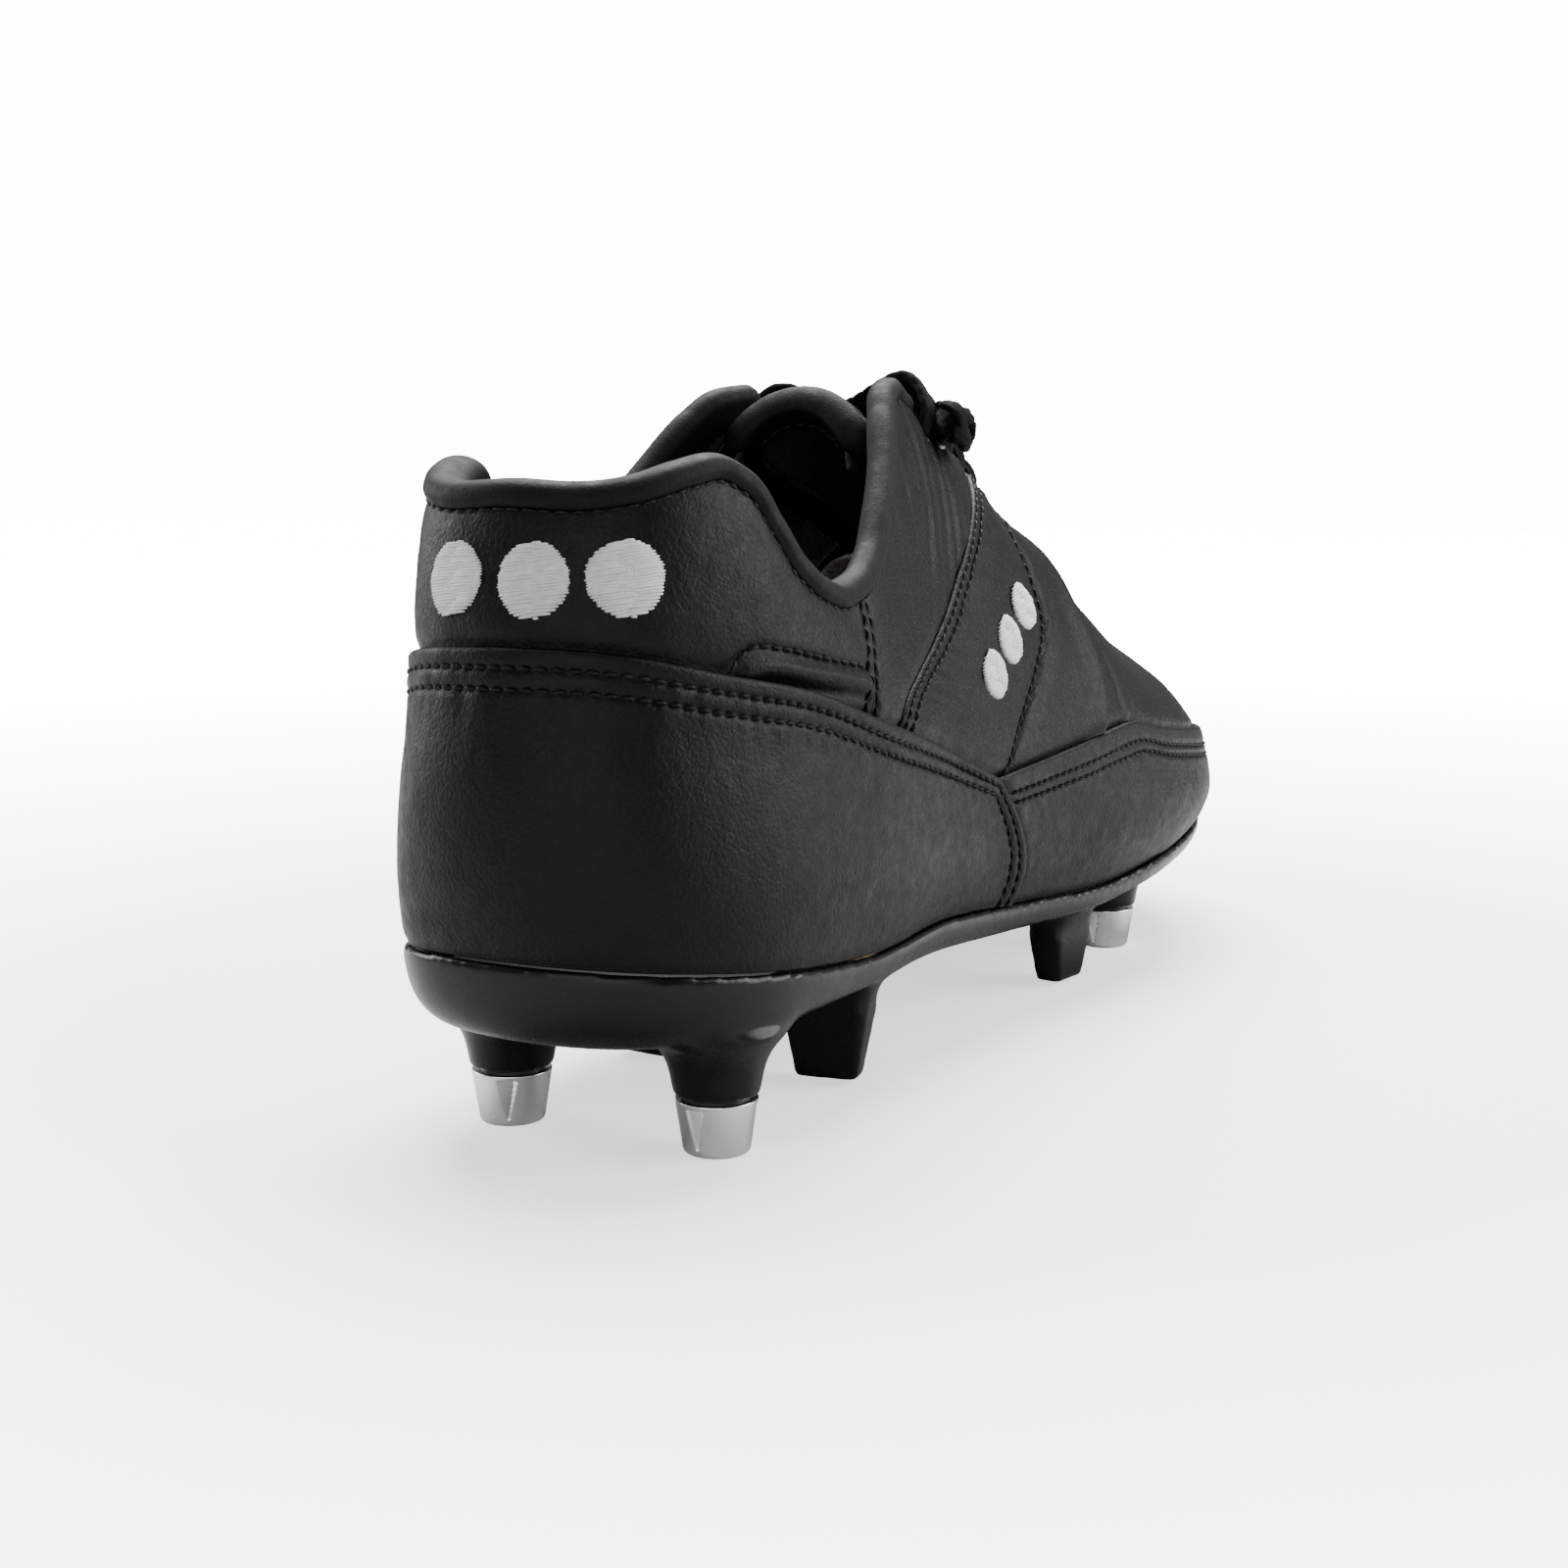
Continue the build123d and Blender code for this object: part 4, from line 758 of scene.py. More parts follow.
def side_band(side):
    """The band under the embroidery, gathered along both of its seams."""
    low = np.concatenate([seam_line(cut(COUNTER_SEAM, BAND_REAR[0][0], 0.2269), count=100),
                          seam_line(cut(MUDGUARD_SEAM, 0.2271, BAND_FRONT[0][0]), count=30)])
    high = throat_edge(BAND_REAR[-1][0], BAND_FRONT[-1][0])
    grid = side_grid(low, high, seam_line(BAND_REAR), seam_line(BAND_FRONT), (9, 5, 3, 5), 52)
    panel = Panel(mirrored(grid, side))
    heel_side, toe_side = names_of_sides(side)
    edge = panel.nearest("start", "end")
    panel.height += 0.55 * bump(panel.nearest(heel_side), 5) + 0.55 * step(edge, 3, 10)
    leather_lumps(panel, 0.16)
    panel.stitch(heel_side, 1.2, pucker=0.05, reach=2.0)
    panel.stitch(heel_side, 4.2, pucker=0.42, reach=6.0)
    panel.stitch(toe_side, 1.2, pucker=0.10, reach=5.0)
    u = panel.away[heel_side]
    creases = noise(u / 3.0, panel.away["bottom"] / 22) * step(u, 6, 12) * step(panel.away[toe_side], 3, 8)
    panel.height += 0.22 * creases
    panel.height -= 0.8 * bump(panel.away["bottom"], 1.6)
    panel.stitch("top", 2.2, None, 0.15, 4.0)
    punch_eyelets(panel, side)
    panel.round_edges("start", "end", "top", radius=0.7)
    return panel


def fore_band(side):
    """The plain band in front, whose free front edge stands over the vamp."""
    low = seam_line(cut(MUDGUARD_SEAM, BAND_FRONT[0][0], OVERLAY_EDGE[0][0]), count=100)
    high = throat_edge(BAND_FRONT[-1][0], 0.317)
    grid = side_grid(low, high, seam_line(BAND_FRONT), seam_line(OVERLAY_EDGE), (6, 5, 3, 5), 40)
    panel = Panel(mirrored(grid, side))
    heel_side, toe_side = names_of_sides(side)
    panel.height += 0.4 * step(panel.nearest(heel_side), 0, 8) + 1.3 * bump(panel.away[toe_side], 4.5)
    leather_lumps(panel, 0.12)
    distance = panel.away[heel_side]
    length = panel.away["bottom"]
    panel.height += 0.30 * noise(length / 1.9, distance / 8) * np.exp(-distance / 6.0)
    panel.height -= 0.7 * bump(distance, 1.3)
    panel.height -= 0.8 * bump(panel.away["bottom"], 1.6)
    panel.stitch("top", 2.2, None, 0.12, 4.0)
    punch_eyelets(panel, side)
    panel.round_edges("start", "end", "top")
    return panel


LACE_SHARES = [0.233, 0.247, 0.261, 0.275, 0.289, 0.303]
EYELET_RISE = 0.885
EYELET_RADIUS = 1.9


def eyelet_share(row, side):
    return LACE_SHARES[row] if side == "lateral" else 1 + medial(LACE_SHARES[row])


def punch_eyelets(panel, side):
    """A punched hole with a pressed rim at every eyelet that lies on the panel."""
    for row in range(len(LACE_SHARES)):
        centre = last_point([eyelet_share(row, side)], [EYELET_RISE])[0]
        distance = np.linalg.norm(panel.base - centre, axis=2)
        panel.height += 0.25 * bump(distance - EYELET_RADIUS - 0.9, 0.7)
        panel.height -= 1.9 * (1 - step(distance, EYELET_RADIUS - 0.5, EYELET_RADIUS + 0.1))


def mudguard():
    start = COUNTER_FRONT[-1][0]
    bottom = level(start, 1 + medial(start), 0.0, 400)
    top = seam_line(round_toe(cut(MUDGUARD_SEAM, MUDGUARD_SEAM[0][0], TOE_SHARE)), count=400)
    left = seam_line(COUNTER_FRONT)[::-1]
    right = left.copy()
    right[:, 0] = 1 + medial(left[:, 0])
    left, right = ends_at(left, bottom[0], top[0]), ends_at(right, bottom[-1], top[-1])
    (bottom, _), (top, length) = evenly(bottom, 500), evenly(top, 500)
    grid = fill(bottom, top, evenly(left)[0], evenly(right)[0], graded(length, 3, 3, coarse=0.6), graded(30, 0, 11))
    panel = Panel(grid)
    panel.height += OVERLAP * bump(panel.away["top"], 6.0)
    leather_lumps(panel, 0.12)
    u = panel.away["start"]
    panel.height += 0.18 * noise(u / 13, panel.away["top"] / 40) * step(panel.away["top"], 6, 14)
    panel.height -= 0.5 * bump(panel.away["bottom"], 1.3) + 0.8 * bump(panel.nearest("start", "end"), 1.6)
    panel.stitch("top", 4.6, None, 0.10, -2.0)
    panel.stitch("top", 7.0, None, 0.14, 3.0)
    panel.round_edges("top", radius=0.9)
    return panel


VAMP_CREASES = [(9.5, 0.28), (14.0, 0.14)]


def plan_of(curve):
    return last_point(curve[:, 0], curve[:, 1])[:, :2]


def vamp():
    """The forepart's top in front of the throat, with the creases that flexing leaves."""
    lateral_share, toe_share = OVERLAY_EDGE[0][0], 0.445
    side = seam_line(cut(MUDGUARD_SEAM, lateral_share, toe_share), 0.0, 120)
    front = seam_line(round_toe(cut(MUDGUARD_SEAM, toe_share, TOE_SHARE)), 0.0, 121)
    right = plan_of(side)
    left = plan_of(np.stack([1 + medial(side[:, 0]), side[:, 1]], 1))
    top = plan_of(front)[::-1]
    edge = seam_line(OVERLAY_EDGE, 0.0, 60)
    lateral_rear = plan_of(edge)
    medial_rear = plan_of(np.stack([1 + medial(edge[:, 0]), edge[:, 1]], 1))
    ridge = np.array([[-2.0, VAMP_REAR_Y]])
    bottom = through_plan(np.concatenate([medial_rear[::6], ridge, lateral_rear[::-6]]), 200)
    bottom, top = ends_at(bottom, left[0], right[0]), ends_at(top, left[-1], right[-1])
    grid = fill(bottom, top, left, right, graded(95, 5, 5, coarse=0.8), graded(88, 16, 5, coarse=0.8))
    panel = Panel(grid, in_plan=True)
    leather_lumps(panel, 0.10)
    away = panel.away["bottom"]
    wander = 1.6 * noise(panel.base[..., 0] / 14, 3)
    for at, deep in VAMP_CREASES:
        panel.height -= deep * bump(away - at - wander, 1.4)
        panel.height += 0.5 * deep * bump(away - at - wander - 2.4, 1.6)
    panel.height -= 0.7 * bump(panel.nearest("start", "end", "top"), 1.4) + 0.5 * bump(away, 1.6)
    return panel


def through_plan(points, count):
    distance = np.concatenate([[0], np.cumsum(np.linalg.norm(np.diff(points, axis=0), axis=1))])
    return smooth(distance, points, np.linspace(0, distance[-1], count))


# ---- collar binding, linings and foam ----
BINDING_WALL = 0.9
BINDING_OUTER_LEG = 1.9
BINDING_INNER_LEG = 5.0


def wall_line(curve, count):
    """Points of the last along a (share, rise) curve at even steps, with their outward and upward directions."""
    curve = evenly(curve, count)[0]
    points = last_point(curve[:, 0], curve[:, 1])
    outward = unit(last_at_depth(curve[:, 0], curve[:, 1], np.full(count, -1.0)) - points)
    along = unit(np.gradient(points, axis=0))
    return curve, points, outward, unit(np.cross(outward, along))


def collar_binding():
    """The soft rolled strip over the collar's edge, down to the first eyelet on each side."""
    collar = seam_line(round_heel(cut(CUT_EDGE, 0.0, 0.2215)), 0.0, 500)
    down = level(0.2265, 0.2300, THROAT_RISE - 0.012, 12)
    back = down[::-1].copy()
    back[:, 0] = medial(back[:, 0])
    curve, points, outward, up = wall_line(np.concatenate([back, collar, down]), 620)
    side = step(np.abs(np.where(curve[:, 0] < 0, -curve[:, 0] * TOE_SHARE / (1 - TOE_SHARE), curve[:, 0])), 0.125, 0.15)
    depth = (HEEL_LINING_DEPTH + LINING) * (1 - side) + (FRONT_LINING_DEPTH + LINING) * side
    middle = -depth / 2 + 0.25
    half = depth / 2 + 0.35
    length = np.arange(len(points)) * np.linalg.norm(np.diff(points, axis=0), axis=1).mean()
    ripple = 0.03 * noise(length / 5.0, 5) + 0.008 * noise(length / 1.2, 9)
    outer, inner = [], []
    outer_leg = np.linspace(BINDING_OUTER_LEG, 0, 7)[:-1]
    arch = np.linspace(0, np.pi, 17)
    inner_leg = np.linspace(0, BINDING_INNER_LEG, 6)[1:]
    for drop in outer_leg:
        bulge = 0.30 * np.sin(np.pi * (1 - drop / BINDING_OUTER_LEG) / 2)
        tuck = -0.55 * bump(drop - BINDING_OUTER_LEG, 0.6)
        for grid, wall in ((outer, 0.45), (inner, -0.45)):
            a = middle + half + bulge * (wall > 0) + tuck + wall + ripple
            grid.append(points + outward * a[:, None] - up * drop)
    for angle in arch:
        for grid, wall in ((outer, BINDING_WALL / 2), (inner, -BINDING_WALL / 2)):
            bulge = 0.30 * (wall > 0) * max(math.cos(angle), 0)
            a = middle + (half + wall + bulge) * math.cos(angle) + ripple
            b = (BINDING_HEIGHT - 0.5 + wall + ripple) * math.sin(angle) ** 0.85
            grid.append(points + outward * a[:, None] + up * np.reshape(b, (-1, 1)))
    for drop in inner_leg:
        for grid, wall in ((outer, BINDING_WALL / 2), (inner, -BINDING_WALL / 2)):
            a = middle - half - wall
            grid.append(points + outward * a[:, None] - up * drop)
    return shell(np.stack(outer, 1), np.stack(inner, 1))


def binding_threads():
    """The single row of stitches in the groove under the binding."""
    collar = seam_line(round_heel(cut(CUT_EDGE, 0.0, 0.2215)), 0.0, 500)
    curve, points, outward, up = wall_line(collar, 900)
    points = points - up * (BINDING_OUTER_LEG + 0.35) - outward * 0.05
    length = np.concatenate([[0], np.cumsum(np.linalg.norm(np.diff(points, axis=0), axis=1))])
    return stitches_on(points, outward, length, np.ones(len(points)), int(length[-1] / STITCH_PITCH))


def layer_on_wall(grid, outer_depth, inner_depth, swell=0.0):
    """A soft layer behind the leather; swell makes it fuller away from its edges."""
    panel = Panel(grid)
    full = step(panel.nearest("start", "end", "top", "bottom"), 0, 6)
    panel.height = -outer_depth + 0 * full
    inner = inner_depth + swell * full
    return shell(panel.surface(), panel.base - panel.out * inner[..., None]), panel


def heel_lining():
    end = 0.1385
    high = seam_line(round_heel(cut(CUT_EDGE, 0, end)), -0.012, 300)
    low = level(medial(end), end, 0.04, 300)
    grid = fill(evenly(low)[0], evenly(high)[0], ends_at(level(0, 1, 0, 50), low[0], high[0]),
                ends_at(level(0, 1, 0, 50), low[-1], high[-1]), np.linspace(0, 1, 140), np.linspace(0, 1, 60))
    panel = Panel(grid)
    puff = 0.9 * bump(panel.away["top"] - 14, 11) * step(panel.nearest("start", "end"), 0, 8)
    folds = 0.25 * noise(panel.share * 90, panel.base[..., 2] / 9) * step(panel.nearest("top"), 4, 12)
    outer = panel.base - panel.out * (HEEL_LINING_DEPTH + puff * 0.9 + folds)[..., None]
    inner = panel.base - panel.out * (HEEL_LINING_DEPTH + LINING + puff * 0.9 + folds)[..., None]
    return shell(outer, inner)


def collar_foam():
    low = seam_line(round_heel([(0.0, 71.0), (0.045, 70.0), (0.090, 67.0), (0.138, 61.0)]), 0, 200)
    high = seam_line(round_heel(cut(CUT_EDGE, 0, 0.138)), -0.012, 200)
    grid = fill(evenly(low)[0], evenly(high)[0], ends_at(level(0, 1, 0, 50), low[0], high[0]),
                ends_at(level(0, 1, 0, 50), low[-1], high[-1]), np.linspace(0, 1, 110), np.linspace(0, 1, 28))
    panel = Panel(grid)
    edge = panel.nearest("start", "end", "top", "bottom")
    round_over = FOAM / 2 * (1 - np.sqrt(1 - np.clip(1 - edge / 2.5, 0, 1) ** 2))
    crown = 0.5 * bump(panel.away["top"] - 13, 9) * step(edge, 0, 6)
    outer = panel.base - panel.out * (LEATHER + 0.1 + round_over)[..., None]
    inner = panel.base - panel.out * (LEATHER + 0.1 + FOAM - round_over * 0.95 + crown)[..., None]
    return shell(outer, inner)


def side_lining(side):
    start, end = 0.1395, 0.311
    rear = seam_line(cut(CUT_EDGE, start, 0.2215), -0.012, 100)
    high = through(np.concatenate([rear, level(0.229, end, 0.918, 60)]), 200)
    low = level(start, end, 0.04, 200)
    high = ends_at(high, [start, rear[0, 1]], [end, 0.918])
    grid = fill(low, high, ends_at(level(0, 1, 0, 50), low[0], high[0]),
                ends_at(level(0, 1, 0, 50), low[-1], high[-1]), np.linspace(0, 1, 100), np.linspace(0, 1, 60))
    panel = Panel(mirrored(grid, side))
    ease = 0.35 * noise(panel.share * 60, panel.base[..., 2] / 12) * step(panel.nearest("top", "start", "end"), 1, 8)
    outer = panel.base - panel.out * (FRONT_LINING_DEPTH + ease)[..., None]
    return shell(outer, outer - panel.out * LINING)


def toe_linings():
    start, end = 0.3125, 1 + medial(0.3125)
    low = level(start, end, 0.05, 300)
    high = seam_line(round_toe(cut(MUDGUARD_SEAM, start, TOE_SHARE)), -0.004, 300)
    high = ends_at(high, [start, high[0, 1]], [end, high[-1, 1]])
    grid = fill(low, high, ends_at(level(0, 1, 0, 50), low[0], high[0]),
                ends_at(level(0, 1, 0, 50), low[-1], high[-1]), np.linspace(0, 1, 160), np.linspace(0, 1, 24))
    panel = Panel(grid)
    outer = panel.base - panel.out * FRONT_LINING_DEPTH
    return shell(outer, outer - panel.out * LINING)


def vamp_lining():
    panel = vamp_lining_panel()
    outer = panel.base - panel.out * FRONT_LINING_DEPTH
    return shell(outer, outer - panel.out * LINING)


def vamp_lining_panel():
    """The vamp's outline drawn in a little, for its lining."""
    outline = vamp()
    inner = outline.base[6:-6:2, 6:-6:2, :2]
    return Panel(inner, in_plan=True)


# ---- embroidery ----
SATIN_THREAD = 0.24
SATIN_PITCH = 0.42


def satin_disc(share, z, radius, turn, lift):
    """A round patch of satin stitch: close parallel threads that meet along a ragged middle line."""
    share, small = np.array([share]), 1e-3
    rise = rise_at(lateral_share(share), z)
    centre = last_point(share, rise)[0]
    outward = unit(last_at_depth(share, rise, -1.0)[0] - centre)
    on = unit(last_point(share + small, rise)[0] - centre)
    up = unit(np.cross(outward, on))
    on, up = on * math.cos(turn) + up * math.sin(turn), up * math.cos(turn) - on * math.sin(turn)
    per_share = (last_point(share + small, rise)[0] - centre) / small
    per_rise = (last_point(share, rise + small)[0] - centre) / small
    step_to_place = np.linalg.pinv(np.stack([per_share, per_rise], 1))
    t = np.linspace(0, 1, 12)
    lines, arches = [], []
    for height in np.arange(-radius, radius + 1e-6, SATIN_PITCH):
        reach = math.sqrt(max(radius**2 - height**2, 0)) + 0.25
        jag = random.uniform(-0.35, 0.35)
        cut_at = 0.22 * radius * math.sin(height * 1.7) + random.uniform(-0.4, 0.4)
        lean = random.uniform(-0.10, 0.10)
        strands = [(-reach + jag * 0.5, min(cut_at + 0.45, reach), height, height + lean, 0.16),
                   (max(cut_at - 0.45, -reach), reach + jag * 0.5, height + lean + 0.18, height + 0.12, 0.16)]
        if reach > 1.2:
            strands.append((-reach + 0.6, reach - 0.6, height, height, -0.04))
        for low, high, low_height, high_height, over in strands:
            if high - low < 0.6:
                continue
            a = (low + (high - low) * t)[:, None]
            b = (low_height + (high_height - low_height) * t)[:, None]
            lines.append(on * a + up * b if over > 0 else on * b + up * a)
            arches.append((0.36 + over * min(high - low, 6) / 6 + random.uniform(-0.04, 0.06))
                          * np.sin(np.pi * t) ** 0.4)
    lines, arches = np.array(lines), np.array(arches)
    place = lines @ step_to_place.T + [share[0], rise[0]]
    flat = place.reshape(-1, 2)
    base = last_at_depth(flat[:, 0], flat[:, 1], np.full(len(flat), -lift))
    normal = unit(base - last_at_depth(flat[:, 0], flat[:, 1], np.full(len(flat), 1.0)))
    shape = lines.shape
    centres = base.reshape(shape) + normal.reshape(shape) * (arches[..., None] - 0.1)
    taper = 0.45 + 0.55 * np.sin(np.pi * t) ** 0.35
    return tubes(centres, normal.reshape(shape), np.broadcast_to(SATIN_THREAD * taper, shape[:2]), 6)


def embroidery(discs, radius, turn, lift, side=None):
    parts = []
    for share, z in discs:
        if side == "medial":
            share = 1 + medial(share)
        parts.append(satin_disc(share, z, radius, turn, lift))
    return join(parts)


# ---- tongue ----
TONGUE_TOP_Y = 95.0
TONGUE_FOOT_Y = 157.0
TONGUE_APEX = [(95, 117.0), (100, 116.3), (107, 113.4), (120, 108.4), (138, 98.9), (150, 92.3), (157, 88.9)]
TONGUE_MIDDLE_X = -0.3
TONGUE_HALF_WIDTH = (16.8, 11.6)
TONGUE_DROP = (18.0, 7.0)
TONGUE_LEAN = (9.0, 2.0)
TONGUE_SPREAD = 78.0
TONGUE_FOAM = 3.2
TONGUE_COVER = 1.0
TONGUE_SLOPE = math.radians(38)
TONGUE_DEPTH = TONGUE_COVER + 0.1 + TONGUE_FOAM + 0.1 + LINING


def tongue_point(way, turn, depth):
    """way: 0 at the top to 1 at the foot; turn: degrees round the arch from its middle."""
    way, turn, depth = np.broadcast_arrays(np.asarray(way, float), np.asarray(turn, float), np.asarray(depth, float))
    shape = way.shape
    way, turn, depth = way.ravel(), np.radians(turn.ravel()), depth.ravel()
    apex = np.array(TONGUE_APEX, float)
    y = TONGUE_TOP_Y + (TONGUE_FOOT_Y - TONGUE_TOP_Y) * way
    z = smooth(apex[:, 0], apex[:, 1], y)[:, 0]
    half = np.interp(way, [0, 1], TONGUE_HALF_WIDTH)
    drop = np.interp(way, [0, 1], TONGUE_DROP)
    lean = np.interp(way, [0, 1], TONGUE_LEAN)
    fall = 1 - np.cos(turn)
    x = (half - depth) * np.sin(turn) + TONGUE_MIDDLE_X
    lift = drop * fall + depth * np.cos(turn) * math.cos(TONGUE_SLOPE)
    back = lean * fall + depth * np.cos(turn) * math.sin(TONGUE_SLOPE)
    return np.stack([x, y - back, z - lift], 1).reshape(*shape, 3)


def tongue_grid(start, end, spread, rows=90, columns=70):
    return np.meshgrid(np.linspace(start, end, rows), np.linspace(-spread, spread, columns), indexing="ij")


def tongue_parts():
    """Cover, foam and lining of the tongue as closed shapes."""
    way, turn = tongue_grid(0.02, 0.95, TONGUE_SPREAD - 2)
    x, along = turn / TONGUE_SPREAD * 18, way * 78
    wrinkle = 0.18 * noise(x / 7, along / 6) + 0.10 * noise(x / 2.6, along / 3)
    channel = 0.35 * bump(np.abs(x) - 9, 1.0)
    cover = shell(tongue_point(way, turn, 0.15 - wrinkle + channel), tongue_point(way, turn, TONGUE_COVER))
    way, turn = tongue_grid(0.05, 0.92, TONGUE_SPREAD - 9, 60, 44)
    edge = np.minimum(np.minimum(way - 0.05, 0.92 - way) * 78, (TONGUE_SPREAD - 9 - np.abs(turn)) * 0.28)
    thin = 1.3 * (1 - np.sqrt(1 - np.clip(1 - edge / 2.5, 0, 1) ** 2))
    foam = shell(tongue_point(way, turn, TONGUE_COVER + 0.1 + thin),
                 tongue_point(way, turn, TONGUE_COVER + 0.1 + TONGUE_FOAM - thin))
    way, turn = tongue_grid(0.03, 0.94, TONGUE_SPREAD - 3, 90, 70)
    x, along = turn / TONGUE_SPREAD * 18, way * 78
    nap = 0.10 * noise(x / 1.1, along / 1.1) + 0.22 * noise(x / 5, along / 7)
    deep = TONGUE_COVER + 0.2 + TONGUE_FOAM
    lining = shell(tongue_point(way, turn, deep + nap), tongue_point(way, turn, deep + LINING + nap))
    return cover, foam, lining


def tongue_rim_path(count=420, inset=0.0):
    """The tongue's free edge, up one side, round the top corners and down the other side."""
    angle = np.linspace(-np.pi / 2, np.pi / 2, count)
    corner = 0.30
    turn = np.sign(np.sin(angle)) * np.abs(np.sin(angle)) ** corner * (TONGUE_SPREAD - inset * 3.4)
    way = 0.012 + inset / 78 + 0.97 * (1 - np.abs(np.cos(angle)) ** corner)
    dense = tongue_point(way, turn, TONGUE_DEPTH / 2)
    distance = np.concatenate([[0], np.cumsum(np.linalg.norm(np.diff(dense, axis=0), axis=1))])
    steps = np.linspace(0, distance[-1], count)
    return np.interp(steps, distance, way), np.interp(steps, distance, turn)


def tongue_rim():
    """The rolled leather edge of the tongue."""
    way, turn = tongue_rim_path()
    points = tongue_point(way, turn, TONGUE_DEPTH / 2)
    out = unit(tongue_point(way, turn, -2.0) - tongue_point(way, turn, TONGUE_DEPTH))
    along = unit(np.gradient(points, axis=0))
    beyond = unit(np.cross(along, out))
    length = np.linspace(0, 190, len(way))
    ripple = 0.07 * noise(length / 4, 2) + 0.05 * noise(length / 1.3, 7)
    outer, inner = [], []
    arc = [(-3.4, 0.0)] + [(-3.4 + 3.4 * k / 5, 0.0) for k in range(1, 5)]
    angles = np.linspace(-np.pi / 2, np.pi / 2, 15)
    half = TONGUE_DEPTH / 2 - 0.1
    for grid, wall in ((outer, 0.4), (inner, -0.4)):
        for reach, _ in arc:
            grid.append(points + beyond * reach - out * (half + wall - 0.35 * bump(reach + 3.4, 0.7)))
        for angle in angles:
            grid.append(points + beyond * ((1.2 + wall) * math.cos(angle) + ripple[:, None] * (wall > 0))
                        + out * (half + wall) * math.sin(angle))
        for reach, _ in arc[::-1]:
            grid.append(points + beyond * reach + out * (half + wall - 0.35 * bump(reach + 3.4, 0.7)))
    return shell(np.stack(outer, 1), np.stack(inner, 1)), (points, out, beyond)


def tongue_threads(rim):
    """Stitches through the tongue's rim, seen on its outer and on its inner face."""
    points, out, beyond = rim
    parts = []
    for sign in (1, -1):
        line = points + beyond * -3.0 + out * sign * (TONGUE_DEPTH / 2 + 0.35)
        length = np.concatenate([[0], np.cumsum(np.linalg.norm(np.diff(line, axis=0), axis=1))])
        parts.append(stitches_on(line, out * sign, length, np.ones(len(line)), int(length[-1] / STITCH_PITCH)))
    return join(parts)


# ---- laces ----
LACE_WIDTH = 5.0
LACE_THICKNESS = 1.8
LACE_CLEARANCE = 0.5
EDGE_RISE = 0.94
EDGE_CLEARANCE = 0.9
LACE_OVER_TONGUE = -0.3
LACE_GAP = 0.5
TOP_EDGE_WAY = 0.4      # the top strands slide down the throat's edge by this share of a row


def facing_place(row, toward, side, share_of_way, rise, clearance):
    """A place over the facing on the way from one eyelet row to another, and the outward direction there."""
    share = LACE_SHARES[row] + (LACE_SHARES[toward] - LACE_SHARES[row]) * share_of_way
    share = np.array([share if side > 0 else 1 + medial(share)])
    rise = np.array([rise])
    point = last_at_depth(share, rise, np.array([-clearance]))[0]
    outward = unit(point - last_at_depth(share, rise, np.array([0.0]))[0])
    return point, outward


def braided(centre, normal, width, thickness, ends=(0.0, 0.0)):
    """A flat braided lace along a line; each end sinks by so many mm into its eyelet."""
    distance = np.concatenate([[0], np.cumsum(np.linalg.norm(np.diff(centre, axis=0), axis=1))])
    count = int(distance[-1] / 0.26)
    at = np.linspace(0, distance[-1], count)
    centre = np.stack([np.interp(at, distance, centre[:, k]) for k in range(3)], 1)
    normal = unit(np.stack([np.interp(at, distance, normal[:, k]) for k in range(3)], 1))
    near = [bump(at, 2.2), bump(distance[-1] - at, 2.2)]
    centre = centre - normal * (ends[0] * near[0] + ends[1] * near[1])[:, None]
    along = unit(np.gradient(centre, axis=0))
    across = unit(np.cross(normal, along))
    normal = unit(np.cross(along, across))
    angles = np.linspace(0, 2 * np.pi, 36, endpoint=False)
    side = np.sign(np.cos(angles)) * np.abs(np.cos(angles)) ** 0.7
    top = np.sign(np.sin(angles)) * np.abs(np.sin(angles)) ** 0.75
    narrow = 1 - 0.45 * np.clip(near[0] + near[1], 0, 1) * (np.max(ends) > 0)
    u = at[:, None] / 1.15
    v = (side * width / 2 / 0.85)[None]
    weave = np.abs(np.sin(np.pi * (u + v) / 2) * np.sin(np.pi * (u - v) / 2)) ** 0.6
    puff = 0.20 * (weave - 0.5)
    a = (side * (width / 2 - 0.1))[None] * narrow[:, None] * (1 + 0.06 * (weave - 0.5))
    b = (top * thickness / 2)[None] + puff * np.sign(top)[None] * np.abs(top)[None]
    middle = centre + normal * thickness / 2
    points = middle[:, None] + across[:, None] * a[..., None] + normal[:, None] * b[..., None]
    quads = grid_quads(count, 36, closed=True)[:, ::-1]
    caps = []
    for ring, turn in ((0, -1), ((count - 1) * 36, 1)):
        for k in range(1, 18):
            caps.append((ring + np.array([0, 2 * k - 1, 2 * k, 2 * k + 1]))[::turn])
    return points.reshape(-1, 3), np.concatenate([quads, caps])


